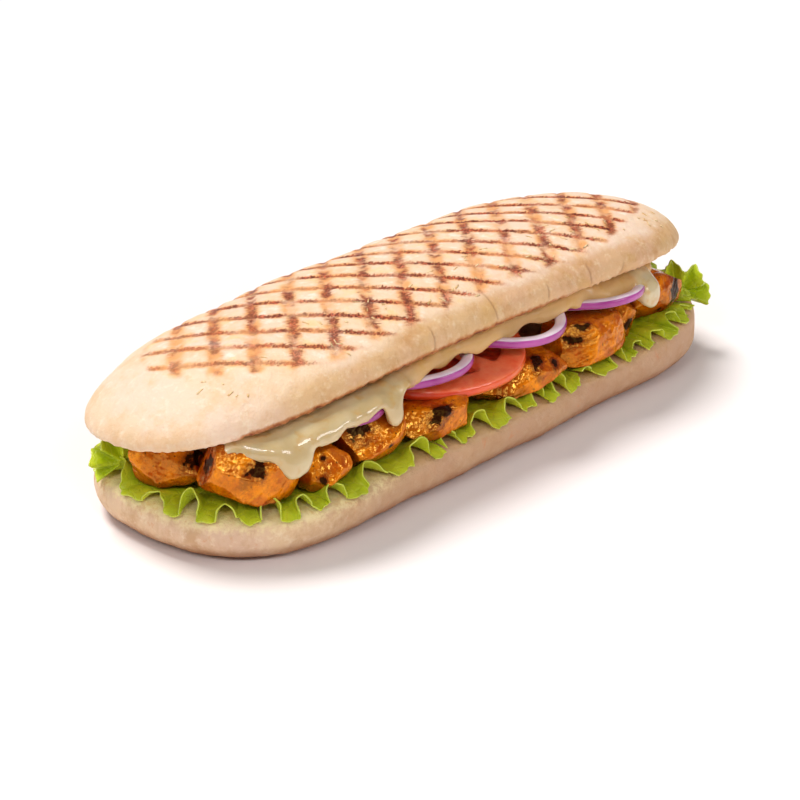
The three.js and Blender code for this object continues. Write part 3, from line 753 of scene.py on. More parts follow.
CRUMBS = {
    "count": 70,
    "seed": 7,
    "along_loaf": (-128, 120),
    "across_loaf": (-46, -22),
    "length": (0.9, 3.6),
    "width": (0.35, 0.7),
    "thickness": 0.3,
    "chipped": (-0.45, 0.2),
}
CRUMB_COLOURS = {"pale": (0.90, 0.70, 0.40), "toasted": (0.72, 0.44, 0.17)}
BOX_FACES = [(0, 1, 3, 2), (4, 6, 7, 5), (0, 4, 5, 1), (2, 3, 7, 6), (0, 2, 6, 4), (1, 5, 7, 3)]


def crumb_look():
    look = Look("toasted_crumb")
    look.colour = look.two_tone((2.0, 2), (0.35, 0.65), *CRUMB_COLOURS.values())
    return look.finish(Roughness=0.6, Normal=look.bump(look.noise(0.6), 0.2, 0.6))


def crumbs(crust):
    """Thin flakes lying on the front half of the top crust."""
    random = np.random.default_rng(CRUMBS["seed"])
    points, faces = [], []
    while len(points) < CRUMBS["count"] * 8:
        x, y = random.uniform(*CRUMBS["along_loaf"]), random.uniform(*CRUMBS["across_loaf"])
        start = seat_top(np.array([x, y, 45.0]))
        found, centre, normal, _ = crust.ray_cast(Vector((start + SHIFT) * MM), Vector((0, 0, -1)))
        if not found:
            continue
        normal = np.array(normal)
        along = np.cross(normal, random.normal(size=3))
        along /= np.linalg.norm(along)
        across = np.cross(normal, along)
        length, width = random.uniform(*CRUMBS["length"]), random.uniform(*CRUMBS["width"])
        half = np.array([length, width, CRUMBS["thickness"]]) / 2
        middle = np.array(centre) / MM - SHIFT + normal * half[Z] * 0.6
        faces += [[len(points) + corner for corner in face] for face in BOX_FACES]
        for i, j, k in itertools.product((-1, 1), repeat=3):
            shape = half * (1 + random.uniform(*CRUMBS["chipped"], 3))
            points.append(middle + along * i * shape[X] + across * j * shape[Y] + normal * k * shape[Z])
    points = np.array(points)
    belongs(new_object("crumbs", points, faces, crumb_look(), {"place": points}), "bread")


# -------------------- lettuce

LEAF = {
    "thickness": 0.55,
    "lift_off_bread": 0.9,
    "wave": 17.0,
    "wave_height": 4.3,
    "wave_reach": 2.7,
    "mean_lift": 1.7,
    "fold_over": 0.15,
    "narrow_crests": 1.6,
    "droop": 0.75,
    "low_at_right": 0.3,
    "closer_at_right": 0.17,
    "deeper_at_right": 0.45,
    "column_width": 0.45,
}
LEAF_COLOURS = {
    "deep": (0.40, 0.50, 0.005),
    "bright": (0.66, 0.73, 0.028),
    "mottle": (0.29, 0.38, 0.004),
    "vein": (0.50, 0.58, 0.10),
    "rim": (0.55, 0.64, 0.035),
    "edge": (0.62, 0.68, 0.14),
}

# How strongly the frill waves at each inset from the rim, and the rows of a leaf.
WAVE_STRENGTH = [(2.4, 1.0), (4, 0.86), (7, 0.60), (10, 0.36), (14, 0.16), (22, 0.03), (40, 0)]
LEAF_EDGE = 2.4
LEAF_ROWS = np.concatenate([
    [LEAF_EDGE, 2.52],
    np.linspace(2.9, 9, 14),
    np.linspace(9.8, 15, 7),
    np.linspace(17, 40, 6),
])

# First and last step of each leaf round the bottom half's outline.
LEAVES = {
    "lettuce_left": (28.2, 36.4),
    "lettuce_front_left": (36.5, 44.3),
    "lettuce_front_middle": (44.4, 51.9),
    "lettuce_front_right": (52, 59.3),
    "lettuce_right": (59.4, 68.6),
    "lettuce_back_right": (68.7, 76.2),
    "lettuce_back_middle": (76.3, 84.4),
    "lettuce_back_left": (84.5, 92.1),
}
LEAF_TIPS = {
    "lettuce_tip_right": {"base": (124, -32, 22.8), "reach": 12.0, "from": -30, "to": 125, "seed": 3},
    "lettuce_tip_left": {"base": (-131, 17, 24), "reach": 11.0, "from": 50, "to": 215, "seed": 8},
}
LEAF_TIP_TURN = math.radians(-47)
LEAF_TIP_MESH = {"columns": 130, "rows": 26}


def frill_phase(step):
    length = step * STEP_LENGTH
    drift = 1.3 * np.sin(length / 21) + 0.9 * np.sin(length / 9.7 + 1)
    closer = LEAF["closer_at_right"] * np.maximum(0, length - 575)
    return 2 * math.pi * length / LEAF["wave"] + drift + closer


def frill_size(step):
    return 0.85 + 0.3 * np.sin(step * 1.9) + 0.15 * np.sin(step * 4.3 + 2)


def leaf_point(step, inset, strength):
    """A point of the frill: its wave lifts, folds over and reaches out by its strength."""
    plain_x = loaf_outline(BOTTOM, step, inset)[X]
    strength = strength ** mix(1, LEAF["deeper_at_right"], smooth(35, 60, plain_x))
    phase = frill_phase(step)
    size = frill_size(step) * strength
    wave = 2 * ((1 + np.sin(phase)) / 2) ** LEAF["narrow_crests"] - 1
    lift = np.where(wave > 0, wave, LEAF["droop"] * wave * strength**2)
    folded = step - LEAF["fold_over"] * size * np.sin(2 * phase)
    ruffle = np.sin(2.7 * phase + 1.3 * step) + 0.7 * np.sin(5.7 * phase + 2.1 * step)
    reach = LEAF["wave_reach"] * size * wave + 0.6 * strength**2 * ruffle
    x, y = loaf_outline(BOTTOM, folded, inset + reach)
    lower = 1 - LEAF["low_at_right"] * smooth(40, 70, x)
    lifted = size * (LEAF["wave_height"] * lift + LEAF["mean_lift"]) * lower
    z = cut_face_height(x) + LEAF["lift_off_bread"] + lifted
    z = z + 0.4 * strength**2 * np.sin(3.3 * phase + step)
    return np.stack([x, y, z], axis=-1)


def lettuce_look():
    look = Look("lettuce_leaf")
    look.colour = look.two_tone((11, 2), (0.3, 0.7), LEAF_COLOURS["deep"], LEAF_COLOURS["bright"])
    look.lay_patches((2.2, 3, 0.6), (0.4, 0.7), 0.4, LEAF_COLOURS["mottle"])
    vein = look.ramp(look.cells(4.2, "DISTANCE_TO_EDGE"), 0.10, 0.0)
    look.lay(look.times(vein, 0.2), LEAF_COLOURS["vein"])
    rim = look.attribute("rim")
    look.lay(look.ramp(rim, 0.3, 0.95, 0.0, 0.5), LEAF_COLOURS["rim"])
    # Painted highlight: a pale line along the very edge of the frill.
    look.lay(look.ramp(rim, 0.955, 0.995, 0.0, 0.35), LEAF_COLOURS["edge"])
    height = look.times_plus(vein, -0.3, look.noise(2.4, 3))
    return look.finish(
        Roughness=0.30, Normal=look.bump(height, 0.4, 0.8), Specular_IOR_Level=0.4,
        Subsurface_Weight=0.2, Subsurface_Scale=0.002, Subsurface_Radius=(0.9, 1.0, 0.1),
    )


def leaf_solid(node, points, rows, columns, rim, material):
    faces = grid_faces(rows, columns, False)
    obj = new_object(node + "_leaf", points, faces, material, {"place": points, "rim": rim})
    wall = obj.modifiers.new("thickness", "SOLIDIFY")
    wall.thickness = LEAF["thickness"] * MM
    wall.offset = 0
    belongs(obj, "lettuce", node)


def lettuce(material):
    insets, strengths = zip(*WAVE_STRENGTH)
    for node, (start, end) in LEAVES.items():
        columns = int((end - start) * STEP_LENGTH / LEAF["column_width"])
        steps = np.linspace(start, end, columns)
        lines = [leaf_point(steps, row, np.interp(row, insets, strengths)) for row in LEAF_ROWS]
        # Only the outermost row is quite at the rim.
        rim = np.minimum(smooth(14, LEAF_EDGE, LEAF_ROWS), 0.95)
        rim[0] = 1.0
        points = np.concatenate(lines)
        leaf_solid(node, points, len(LEAF_ROWS), columns, np.repeat(rim, columns), material)


def lettuce_tips(material):
    """Ragged fans that stand up at both ends."""
    columns, rows = LEAF_TIP_MESH["columns"], LEAF_TIP_MESH["rows"]
    across = np.array([math.cos(LEAF_TIP_TURN), math.sin(LEAF_TIP_TURN), 0])
    towards = np.array([across[Y], -across[X], 0])
    for node, tip in LEAF_TIPS.items():
        angle = np.radians(np.linspace(tip["from"], tip["to"], columns))
        seed = tip["seed"]
        lobes = np.abs(np.sin(3.5 * angle + seed / 2)) ** 0.7
        ragged = 0.84 + 0.24 * lobes + 0.03 * np.sin(31 * angle + seed)
        lines = []
        for fraction in np.linspace(0.12, 1, rows):
            radius = tip["reach"] * fraction * mix(1, ragged, fraction)
            curl = 3.6 * fraction**1.5 * np.sin(8 * angle + seed) + 0.9 * fraction**3 * np.sin(17 * angle)
            line = np.outer(radius * np.cos(angle), across) + np.outer(curl, towards)
            line[:, Z] += radius * np.sin(angle)
            lines.append(line + np.array(tip["base"]))
        rim = np.repeat(np.linspace(0, 1, rows) ** 2, columns)
        leaf_solid(node, np.concatenate(lines), rows, columns, rim, material)


# -------------------- turkey

TURKEY_NAMES = [f"turkey_{number}" for number in range(1, 17)]
TURKEY_SHOWN = 9
TURKEY_VOXEL = {"shown": 0.7, "hidden": 1.2}
TURKEY_LUMPS = [(0.6, 9, 11), (0.25, 3.4, 12)]
TURKEY_GRAIN = [(0.08, 1.1, 14)]
TURKEY_COLOURS = {
    "deep": (0.50, 0.058, 0.001),
    "bright": (0.92, 0.235, 0.001),
    "sauce": (0.36, 0.048, 0.001),
    "hollow": (0.34, 0.045, 0.001),
    "fibre": (0.34, 0.05, 0.001),
    "pale": (0.95, 0.34, 0.004),
    "painted_crevice_shade": (0.16, 0.016, 0.001),
    "speck": (0.09, 0.018, 0.006),
    "sear_ring": (0.22, 0.016, 0.001),
    "sear_black": (0.012, 0.003, 0.002),
}
# Flat cuts round each piece. The first one faces up and to the front left.
FACETS = {
    "cuts": 10,
    "share": 0.22,
    "least": 0.4,
    "flattened": (1, 1, 0.8),
    "first_way": (-0.55, -0.62, 0.56),
    "first_stray": 0.12,
    "first_share": 0.26,
}
GROWTH = {"turkey_8": 1.22}
USUAL_GROWTH = 1.03
SPOT_STRETCH = np.array([0.22, 0.8, 0.8])
FIBRE_SQUEEZE = np.array([0.14, 1.0, 1.0])
PIECE_OFFSET = 37.0

# Seared spots: the pixel of the photograph that shows each, and its radius in millimetres.
SEARED_SPOTS = {
    "turkey_1": [(197, 457, 4.0)],
    "turkey_2": [(208, 465, 4.2), (255, 471, 3.4), (263, 459, 3.0)],
    "turkey_3": [(323, 458, 1.3), (323, 481, 1.7)],
    "turkey_4": [(359, 432, 4.2), (391, 446, 0.9)],
    "turkey_5": [(444, 412, 4.2), (447, 441, 1.8)],
    "turkey_6": [(537, 362, 3.4), (555, 364, 2.0)],
    "turkey_7": [(574, 340, 2.8), (583, 325, 2.4)],
    "turkey_8": [(629, 325, 2.6)],
    "turkey_9": [(674, 291, 4.6), (659, 309, 1.0)],
}
# On pieces that the photograph doesn't show: how far from the top, and the radius.
HIDDEN_SPOTS = [((0, 0, 0), 4.0), ((-9, 4, -3), 3.0)]


def camera_axes():
    azimuth, elevation = math.radians(CAMERA["azimuth"]), math.radians(CAMERA["elevation"])
    level = math.cos(elevation)
    back = np.array([math.sin(azimuth) * level, -math.cos(azimuth) * level, math.sin(elevation)])
    right = np.array([math.cos(azimuth), math.sin(azimuth), 0])
    return right, np.cross(back, right), back


def camera_place():
    return np.array(CAMERA["aim"]) + SHIFT + camera_axes()[2] * CAMERA["distance"]


def place_at_pixel(obj, u, v):
    """Where the sight line through a pixel of the photograph meets an object, or None."""
    right, up, back = camera_axes()
    centre = IMAGE_SIZE / 2
    way = right * (u - centre) + up * (centre - v) - back * CAMERA["focal_pixels"]
    found, place, _, _ = obj.ray_cast(Vector(camera_place() * MM), Vector(way).normalized())
    return np.array(place) / MM - SHIFT if found else None


def turkey_look():
    look = Look("glazed_turkey")
    colours = TURKEY_COLOURS
    fibres = look.attribute("fibre_place", "Vector")
    look.colour = look.two_tone((8, 3, 0.55), (0.34, 0.66), colours["deep"], colours["bright"])
    look.lay_patches((6.5, 4, 0.6), (0.54, 0.74), 0.8, colours["sauce"])
    # Darker in the hollows of the relief: partly glaze pooled there, partly painted shade.
    look.lay(look.ramp(look.attribute("hollow"), 0.2, 0.9, 0.0, 0.7), colours["hollow"])
    fibre = look.noise(1, 3, 0.65, 0.4, fibres)
    look.lay(look.ramp(fibre, 0.58, 0.72, 0.0, 0.6), colours["fibre"])
    look.lay_patches((3.2, 2, 0.5, 0.5), (0.58, 0.76), 0.45, colours["pale"], place=fibres)
    # Painted shade: ambient occlusion darkens the crevices and where the pieces touch.
    open_air = look.node("ShaderNodeAmbientOcclusion", {"Distance": 7 * MM}, samples=6).outputs["AO"]
    look.lay(look.ramp(open_air, 0.95, 0.40, 0.0, 0.9), colours["painted_crevice_shade"])
    specks = look.times(look.ramp(look.cells(2.3), 0.20, 0.11), look.patches((4, 1), (0.46, 0.56)))
    look.lay(look.times(specks, 0.85), colours["speck"])
    sear = look.uneven(look.attribute("sear"), (1.5, 4, 0.75), 1.3)
    ring = look.ramp(sear, -0.05, 0.45)
    look.lay(look.times(ring, 0.9), colours["sear_ring"])
    black = look.ramp(sear, 0.55, 0.72)
    look.lay(look.times(black, 0.95), colours["sear_black"])
    height = look.times_plus(fibre, 0.5, look.noise(3.0))
    height = look.times_plus(look.times(ring, look.noise(0.9, 3, 0.7)), 1.4, height)
    film = look.times_plus(look.noise(2.6, place=fibres), 0.5, look.noise(4.0))
    return look.finish(
        Roughness=look.ramp(black, 0, 1, 0.11, 0.15),
        Normal=look.bump(look.times_plus(height, 0.12, film), 0.8, 0.8), IOR=1.8,
        Specular_IOR_Level=look.ramp(black, 0, 1, 1.0, 0.08), Specular_Tint=(1.0, 0.57, 0.10),
        Subsurface_Weight=0.05, Subsurface_Scale=0.003, Subsurface_Radius=(1.0, 0.3, 0.05),
    )


def faceted(points, seed, growth):
    """Points of a lump, grown a little, with flat facets cut off all round it."""
    random = np.random.default_rng(seed)
    middle = points.mean(0)
    points = middle + (points - middle) * growth
    ways = random.normal(size=(FACETS["cuts"], 3)) * FACETS["flattened"]
    ways[0] = FACETS["first_way"] + FACETS["first_stray"] * ways[0]
    shares = FACETS["share"] * random.uniform(FACETS["least"], 1, FACETS["cuts"])
    shares[0] = FACETS["first_share"]
    for way, share in zip(ways, shares):
        way = way / np.linalg.norm(way)
        reach = (points - middle) @ way
        points -= way * np.maximum(0, reach - reach.max() * (1 - share))[:, None]
    return points


def along_fibres(own, number):
    """Places squeezed along a piece's own grain, so that noise over them runs in streaks."""
    upright_turn = turned(own, Z, 0.9 * math.sin(2.3 * number))
    return turned(upright_turn, Y, 0.55 + 0.3 * math.sin(1.7 * number)) * FIBRE_SQUEEZE


def turkey(material):
    for number, node in enumerate(TURKEY_NAMES):
        voxel = TURKEY_VOXEL["shown" if number < TURKEY_SHOWN else "hidden"]
        mesh = remeshed(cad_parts[node].data.copy(), voxel, 3)
        set_places(mesh, faceted(vertex_places(mesh), number, GROWTH.get(node, USUAL_GROWTH)))
        own = vertex_places(mesh)
        own = own - own.mean(0) + PIECE_OFFSET * number
        fibre_place = along_fibres(own, number)
        grooves = smooth(0.20, 0.0, np.abs(lattice_noise(fibre_place, 3.0, 13)))
        relief = lumps(own, TURKEY_LUMPS)
        points = swollen(mesh, relief + lumps(fibre_place, TURKEY_GRAIN) - 0.25 * grooves)
        hollow = smooth(0.0, -0.9, relief - 0.2 * grooves)
        attributes = {"place": own, "fibre_place": fibre_place, "hollow": hollow}
        piece = finished(node + "_piece", mesh, material, attributes)
        add_attributes(mesh, {"sear": sear_strength(piece, node, number, points)})
        belongs(piece, "turkey", node)


def sear_strength(piece, node, number, points):
    """Over 1 at the middle of each seared spot, falling to 0 outside its ragged edge."""
    spots = [(place_at_pixel(piece, u, v), radius) for u, v, radius in SEARED_SPOTS.get(node, [])]
    if not spots:
        top = points[np.argmax(points[:, Z])]
        spots = [(top + np.array(away), radius) for away, radius in HIDDEN_SPOTS]
    coarse = np.stack([lattice_noise(points, 3.4, seed) for seed in (41, 42, 43)], axis=-1)
    fine = np.stack([lattice_noise(points, 1.4, seed) for seed in (44, 45, 46)], axis=-1)
    sear = np.zeros(len(points))
    for centre, radius in spots:
        if centre is not None:
            away = points + radius * (0.5 * coarse + 0.22 * fine) - centre
            distance = np.linalg.norm(along_fibres(away, number) / SPOT_STRETCH / radius, axis=1)
            sear = np.maximum(sear, 1.25 * np.exp(-(distance**2)))
    return sear


# -------------------- tomato

TOMATO = {"thickness": 6.0, "rim_round": 1.8, "spacing": 0.8, "column_width": 0.9}
TOMATO_SLICES = {
    "tomato_1": {"centre": (-7, -11, 37.2), "radius": 39.6, "tip": 6.5, "seed": 1},
    "tomato_2": {"centre": (57, -6, 39.6), "radius": 24, "tip": -7.5, "seed": 2},
    "tomato_3": {"centre": (-52, 26, 33.6), "radius": 20, "tip": -8, "seed": 3},
}
SEED_CHAMBERS = {"count": 6, "depth": 1.5}
TOMATO_COLOURS = {
    "flesh": [(0.92, 0.12, 0.038), (0.98, 0.23, 0.095)],
    "jelly": [(0.32, 0.008, 0.003), (0.66, 0.045, 0.008)],
    "skin": [(0.76, 0.055, 0.010), (0.92, 0.15, 0.025)],
}


def tomato_look():
    look = Look("tomato_slice")
    skin = look.attribute("skin")
    look.colour = look.two_tone((5, 3, 0.6), (0.3, 0.7), *TOMATO_COLOURS["flesh"])
    jelly = look.two_tone((3, 2), (0.35, 0.65), *TOMATO_COLOURS["jelly"])
    look.lay(look.ramp(look.attribute("gel"), 0.35, 0.65), jelly)
    outside = look.two_tone((18, 2), (0.35, 0.65), *TOMATO_COLOURS["skin"])
    look.lay(look.ramp(skin, 0.25, 0.8), outside)
    return look.finish(
        Roughness=look.ramp(skin, 0, 1, 0.34, 0.18),
        Normal=look.bump(look.noise(1.1, 3, 0.6), 0.25, 0.6), Specular_IOR_Level=0.5,
        Subsurface_Weight=0.25, Subsurface_Scale=0.004, Subsurface_Radius=(1.0, 0.25, 0.12),
        Coat_Weight=0.35, Coat_Roughness=0.12,
    )


def tomato(material):
    half, edge = TOMATO["thickness"] / 2, TOMATO["rim_round"]
    for node, item in TOMATO_SLICES.items():
        radius, seed = item["radius"], item["seed"]
        corners = [(0.02, half), (radius - edge, half), (radius, half - edge), (radius, edge - half)]
        corners += [(radius - edge * 1.2, -half), (0.02, -half)]
        profile = rounded_profile(corners, TOMATO["spacing"])
        columns = int(2 * math.pi * radius / TOMATO["column_width"])
        angle = np.arange(columns) / columns * 2 * math.pi
        lobes = 1 + 0.012 * np.sin(5 * angle + seed) + 0.012 * np.sin(2 * angle + 2 * seed)
        reach, height = profile[:, :1], profile[:, 1:]
        spoke = np.mod(angle / (2 * math.pi) * SEED_CHAMBERS["count"] + 0.37 * seed, 1)
        chamber = smooth(0.80, 0.55, np.abs(spoke - 0.5) * 2)
        share = reach / radius
        gel = chamber * smooth(0.26, 0.36, share) * smooth(0.80, 0.72, share)
        gel = gel * (np.abs(height) > half - 0.7)
        x = reach * (lobes * np.cos(angle))
        y = reach * (lobes * np.sin(angle))
        z = height - np.sign(height) * SEED_CHAMBERS["depth"] * gel
        own = np.stack([x, y, z], axis=-1).reshape(-1, 3)
        own[:, Z] += lumps(own, [(0.12, 2.6, seed)])
        points = turned(own, X, math.radians(item["tip"])) + np.array(item["centre"])
        skin = np.repeat(smooth(radius - 1.0, radius - 0.1, profile[:, 0]), columns)
        attributes = {"place": own + 50 * seed, "skin": skin, "gel": gel.ravel()}
        faces = grid_faces(len(profile), columns, True)[:, ::-1]
        obj = new_object(node + "_slice", points, faces, material, attributes)
        belongs(obj, "tomato", node)


# -------------------- onion

ONION = {"height": 3.9, "width": 3.9, "spacing": 0.4, "section_gap": 0.7}
ONION_ARCS = {
    "onion_1": {"centre": (-73, -30, 41.2), "radius": 17.5, "from": 215, "to": 312, "tip": 0},
    "onion_2": {"centre": (-28, -24, 43), "radius": 23, "from": 192, "to": 345, "tip": 2},
    "onion_3": {"centre": (21, -25.5, 43.4), "radius": 25.5, "from": 180, "to": 362, "tip": 1},
    "onion_4": {"centre": (69, -25.5, 41.6), "radius": 25, "from": 184, "to": 303, "tip": -4},
    "onion_5": {"centre": (36, 21.5, 37), "radius": 25, "from": 20, "to": 160, "tip": -6},
}
ONION_COLOURS = {
    "flesh": [(0.78, 0.62, 0.74), (0.88, 0.78, 0.84)],
    "layer_line": (0.62, 0.34, 0.60),
    "skin": [(0.31, 0.020, 0.20), (0.52, 0.085, 0.38)],
}


def onion_look():
    look = Look("red_onion")
    look.colour = look.two_tone((6, 2), (0.3, 0.7), *ONION_COLOURS["flesh"])
    layers = look.math("PINGPONG", look.attribute("depth"), 0.8)
    look.lay(look.ramp(layers, 0.10, 0.0, 0.0, 0.30), ONION_COLOURS["layer_line"])
    purple = look.two_tone((16, 2), (0.3, 0.7), *ONION_COLOURS["skin"])
    look.lay(look.ramp(look.attribute("skin"), 0.3, 0.75), purple)
    return look.finish(
        Roughness=0.24, Normal=look.bump(look.noise(1.6), 0.2, 0.5), Subsurface_Weight=0.25,
        Subsurface_Scale=0.003, Subsurface_Radius=(1.0, 0.6, 0.9), Coat_Weight=0.3,
        Coat_Roughness=0.12,
    )


def onion(material):
    h, w = ONION["height"] / 2, ONION["width"]
    corners = [(-w, 0), (-w, h * 0.8), (0, h), (0.7, 0), (0, -h), (-w, -h * 0.8), (-w, 0)]
    loop = rounded_profile(corners, ONION["spacing"])[:-1]
    size = len(loop)
    for node, arc in ONION_ARCS.items():
        radius = arc["radius"]
        count = int(math.radians(arc["to"] - arc["from"]) * radius / ONION["section_gap"])
        angle = np.radians(np.linspace(arc["from"], arc["to"], count))[:, None]
        out = radius * (1 + 0.025 * np.sin(3 * angle + radius)) + loop[:, 0]
        rise = loop[:, 1] + 0.5 * np.sin(2 * angle + radius)
        own = np.stack([out * np.cos(angle), out * np.sin(angle), rise], axis=-1).reshape(-1, 3)
        points = turned(own, X, math.radians(arc["tip"])) + np.array(arc["centre"])
        points[:, Z] += lumps(points, [(0.15, 6, 3)])
        depth = np.tile(loop[:, 0], count)
        faces = list(grid_faces(count, size, True))
        faces += [range(size)[::-1], range((count - 1) * size, count * size)]
        attributes = {"place": own + 20 * radius, "skin": smooth(-0.25, 0.35, depth), "depth": depth}
        obj = new_object(node + "_ring", points, faces, material, attributes)
        belongs(obj, "onion", node)


# -------------------- cheese

CHEESE = {
    "from": -124.0,
    "to": 97.0,
    "thickness": 2.6,
    "drip_thickness": 4.0,
    "front_inset": 6.0,
    "least_reach": 2.0,
    "least_drop": 1.5,
    "apron_inset": 4.5,
    "columns": 260,
    "rows": 150,
}
CHEESE_LUMPS = [(0.45, 7, 21), (0.2, 3, 22)]
CHEESE_COLOURS = {
    "cream": [(0.60, 0.43, 0.20), (0.68, 0.54, 0.31)],
    "shaded_film_band": (0.66, 0.38, 0.145),
    "oily": (0.62, 0.36, 0.10),
}

# Drips: place along the loaf, half width, length.
FRONT_DRIPS = [
    (-119, 10, 2.4), (-106.5, 6.5, 11), (-94, 8, 3.4), (-78, 8, 2.2), (-61, 4.5, 9.5), (85, 6, 9),
]
FRONT_RIPPLES = [
    (-44, 7, 2.6), (-27, 5, 1.6), (-8, 6, 2.4), (11, 5, 1.8),
    (30, 6, 2.3), (50, 5, 2.0), (64, 7, 2.6), (75, 6, 3.2),
]
BACK_DRIPS = [(-72, 9, 6), (-5, 12, 7), (70, 8, 5)]
# Where the cheese comes out over the filling without hanging down: start, end, how far out.
FRONT_SHELVES = [(-118, -50, 1.0), (58, 92, 0.5)]


def hang(drips, x, least):
    drops = [least + drop * np.exp(-(np.abs((x - place) / width) ** 3)) for place, width, drop in drips]
    return np.maximum(least, np.max(drops, axis=0))


def depth_at(loaf, x, inset):
    cap = loaf["end_round"]
    along = np.maximum(0, np.abs(x) - (loaf["half_length"] - inset - cap)) / cap
    power = loaf["squareness"]
    return (loaf["half_width"] - inset) * (1 - np.minimum(0.999, along) ** power) ** (1 / power)


def cheese_profile(x):
    """The middle line of the cheese at each place x, from the back edge to the front edge."""
    depth = depth_at(TOP, x - SEAT["shift"][X], CHEESE["front_inset"])

    def roof(y):
        return ceiling(x, y) - CONTACT_GAP - CHEESE["thickness"] / 2 - 0.5

    front, back = SEAT["shift"][Y] - depth, SEAT["shift"][Y] + depth
    ripple = 0.5 * np.sin(x / 3.7) * np.sin(x / 8.9 + 1)
    front_drop = hang(FRONT_DRIPS + FRONT_RIPPLES, x, CHEESE["least_drop"]) + ripple
    back_drop = hang(BACK_DRIPS, x, CHEESE["least_drop"])
    lip = roof(front) - lip_sag(x - SEAT["shift"][X], np.full_like(x, -TOP["half_width"]))
    apron = depth_at(BOTTOM, x, CHEESE["apron_inset"]) + front
    least_reach = CHEESE["least_reach"] + 0.7 * np.sin(x / 6.1 + 2)
    shelves = [
        share * smooth(-5, 5, x - start) * smooth(12, -12, x - end)
        for start, end, share in FRONT_SHELVES
    ]
    shelf = np.max(shelves, axis=0)
    reach = mix(least_reach, apron, np.maximum(shelf, smooth(3, 10, front_drop)))
    return [
        (back + 2.6, roof(back) - 1 - back_drop),
        (back, roof(back) - 0.3),
        (front, mix(roof(front), lip, 0.5)),
        (front - reach * 0.6, lip - 0.5 - front_drop * 0.1),
        (front - reach * 0.92, lip - 1.2 - front_drop * 0.4),
        (front - reach, lip - 1.8 - front_drop * 0.75),
        (front - reach * 0.96, lip - 2.2 - front_drop),
    ]


def cheese_look():
    look = Look("melted_cheese")
    shaded_film_band = look.attribute("shaded_film_band")
    look.colour = look.two_tone((17, 2), (0.35, 0.65), *CHEESE_COLOURS["cream"])
    # Painted shade under the bread's lip: between the drips the thin cheese film is laid darker and more
    # amber.
    look.lay(shaded_film_band, CHEESE_COLOURS["shaded_film_band"])
    look.lay_patches((7, 3, 0.6), (0.50, 0.70), 0.7, CHEESE_COLOURS["oily"])
    waves = look.times_plus(look.noise(2.4), 0.25, look.noise(7))
    return look.finish(
        Roughness=0.30, Normal=look.bump(waves, 0.9, 0.7),
        Specular_IOR_Level=look.ramp(shaded_film_band, 0, 1, 0.5, 0.15), Subsurface_Weight=0.25,
        Subsurface_Scale=0.004, Subsurface_Radius=(1.0, 0.7, 0.35),
        Coat_Weight=look.ramp(shaded_film_band, 0, 1, 0.95, 0.15), Coat_Roughness=0.07,
    )


def thick_sheet(name, grid, thickness):
    """A closed mesh round a sheet, which is a grid of points of its middle."""
    columns, rows = grid.shape[:2]
    normal = np.cross(np.gradient(grid, axis=1), np.gradient(grid, axis=0))
    normal /= np.linalg.norm(normal, axis=-1, keepdims=True)
    half = normal * thickness[..., None] / 2
    points = np.concatenate([(grid + half).reshape(-1, 3), (grid - half).reshape(-1, 3)])
    count = columns * rows
    index = np.arange(count).reshape(columns, rows)
    border = np.concatenate([index[0, :-1], index[:-1, -1], index[-1, :0:-1], index[:0:-1, 0]])
    after = np.roll(border, -1)
    upper = grid_faces(columns, rows, False)
    walls = np.stack([after, border, border + count, after + count], axis=-1)
    faces = np.concatenate([upper, upper[:, ::-1] + count, walls])
    mesh = bpy.data.meshes.new(name)
    mesh.from_pydata((points + SHIFT) * MM, [], faces.tolist())
    mesh.update()
    return mesh


def cheese(material):
    x = np.linspace(CHEESE["from"], CHEESE["to"], CHEESE["columns"])
    share = np.linspace(0, 1, CHEESE["rows"])
    corners = np.array([np.stack(row, axis=-1) for row in cheese_profile(x)])
    grid = []
    for place, section in zip(x, corners.transpose(1, 0, 2)):
        line = rounded_profile(section, 1.0, rounds=2)
        own = np.linspace(0, 1, len(line))
        y, z = [np.interp(share, own, values) for values in line.T]
        grid.append(np.stack([np.full_like(y, place), y, z], axis=-1))
    grid = np.array(grid)
    on_drip = smooth(2, 9, hang(FRONT_DRIPS, grid[..., X], 0)) * smooth(0.86, 0.95, share)
    thickness = mix(CHEESE["thickness"], CHEESE["drip_thickness"], on_drip)
    mesh = remeshed(thick_sheet("cheese_sheet", grid, thickness), 0.8, 12)
    points = swollen(mesh, lumps(vertex_places(mesh), CHEESE_LUMPS) + 0.1)
    # Where the cheese hangs thin between the drips, in the shade of the lip, it takes the darker band
    # colour: painted shade with the film's amber.
    between_drips = smooth(6, 2, hang(FRONT_DRIPS, points[:, X], 0))
    shaded_film_band = 0.85 * between_drips * smooth(-62, -40, points[:, X])
    piece = finished("cheese_melt", mesh, material, {"place": points, "shaded_film_band": shaded_film_band})
    belongs(piece, "cheese", "cheese")


# -------------------- camera, light and floor

WORLD_STRENGTH = 0.18
# Lamps stand to the right of, away from and above the panini, as the camera sees it.
SUN = {"place": (-0.55, 0.45, 1.3), "power": 2.95, "colour": (1, 0.985, 0.965), "angle": 24}
# Soft windows for the highlights: place, length, height, power.
WINDOWS = {
    "glint": ((-0.35, -1.1, 1.05), 0.24, 0.12, 2.2),
    "window_left": ((-0.75, -1.15, 0.95), 0.55, 0.24, 3.6),
    "window_front": ((0.35, -1.1, 1.0), 0.42, 0.20, 3.2),
    "window_right": ((1.2, -0.45, 0.60), 0.60, 0.26, 4.0),
}
FLOOR = {
    "reach": 4.0,
    "near": (0.94, 0.88, 0.87),
    "far": (0.95, 0.94, 0.94),
    "near_radius": 0.14,
    "far_radius": 0.34,
}


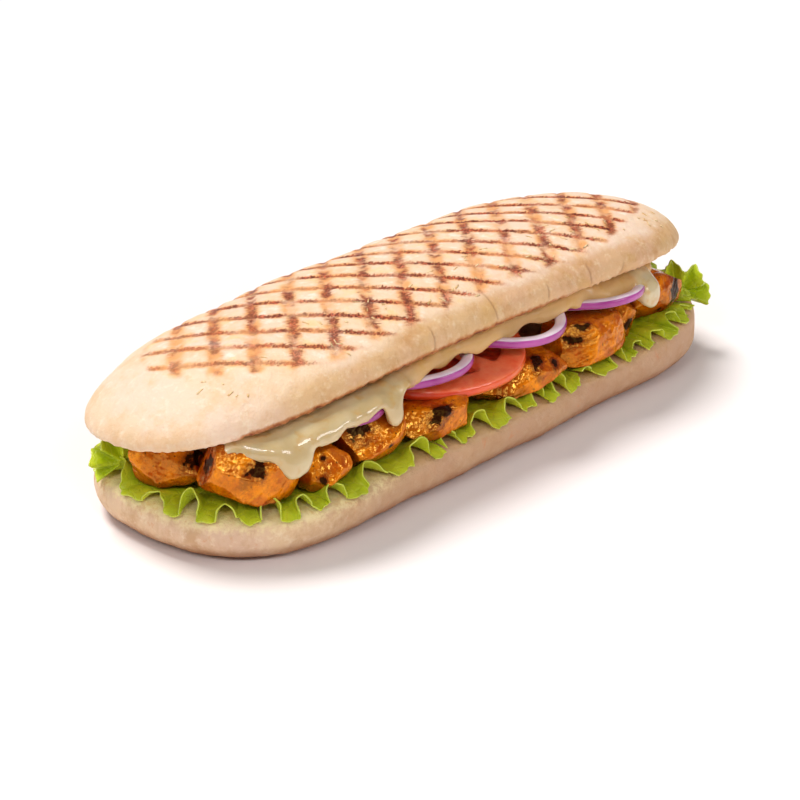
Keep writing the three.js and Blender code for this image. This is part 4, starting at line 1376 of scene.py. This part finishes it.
def camera():
    data = bpy.data.cameras.new("camera")
    obj = linked("camera", data)
    data.sensor_width = SENSOR
    data.lens = CAMERA["focal_pixels"] / IMAGE_SIZE * SENSOR
    data.clip_start, data.clip_end = 0.05, 20
    obj.location = Vector(camera_place() * MM)
    obj.rotation_euler = Vector(camera_axes()[2]).to_track_quat("Z", "Y").to_euler()
    bpy.context.scene.camera = obj


def light(name, kind, place, power):
    """A light that shines from its place towards the middle of the floor."""
    right, _, back = camera_axes()
    away = np.array([-back[X], -back[Y], 0]) / math.hypot(back[X], back[Y])
    place = place[X] * right + place[Y] * away + place[Z] * np.array([0, 0, 1.0])
    data = bpy.data.lights.new(name, kind)
    data.energy = power
    obj = linked(name, data)
    obj.location = place
    obj.rotation_euler = (-Vector(place)).to_track_quat("-Z", "Y").to_euler()
    return data


def studio():
    scene = bpy.context.scene
    scene.view_settings.view_transform = "Standard"
    world = bpy.data.worlds.new("studio")
    world.use_nodes = True
    background = world.node_tree.nodes["Background"]
    background.inputs["Color"].default_value = (1, 1, 1, 1)
    background.inputs["Strength"].default_value = WORLD_STRENGTH
    scene.world = world
    sun = light("key", "SUN", SUN["place"], SUN["power"])
    sun.color = SUN["colour"]
    sun.angle = math.radians(SUN["angle"])
    for name, (place, length, height, power) in WINDOWS.items():
        window = light(name, "AREA", place, power)
        window.shape = "RECTANGLE"
        window.size = length
        window.size_y = height


def floor():
    mesh = bpy.data.meshes.new("floor")
    r = FLOOR["reach"]
    mesh.from_pydata([(-r, -r, 0), (r, -r, 0), (r, r, 0), (-r, r, 0)], [], [(0, 1, 2, 3)])
    look = Look("floor_paint")
    place = look.node("ShaderNodeTexCoord").outputs["Object"]
    # Painted shade: the floor is pinker near the panini, where its shadow and the bread's warm bounce
    # fall, and plain farther out.
    radius = look.vector("LENGTH", place, output="Value")
    far = look.ramp(radius, FLOOR["near_radius"], FLOOR["far_radius"])
    look.colour = look.mix(far, FLOOR["near"], FLOOR["far"])
    mesh.materials.append(look.finish(Roughness=0.6))
    obj = linked("floor", mesh)


# -------------------- the whole panini

camera()
studio()
floor()
bread_bottom()
crumbs(bread_top())
leaf_look = lettuce_look()
lettuce(leaf_look)
lettuce_tips(leaf_look)
turkey(turkey_look())
tomato(tomato_look())
onion(onion_look())
cheese(cheese_look())
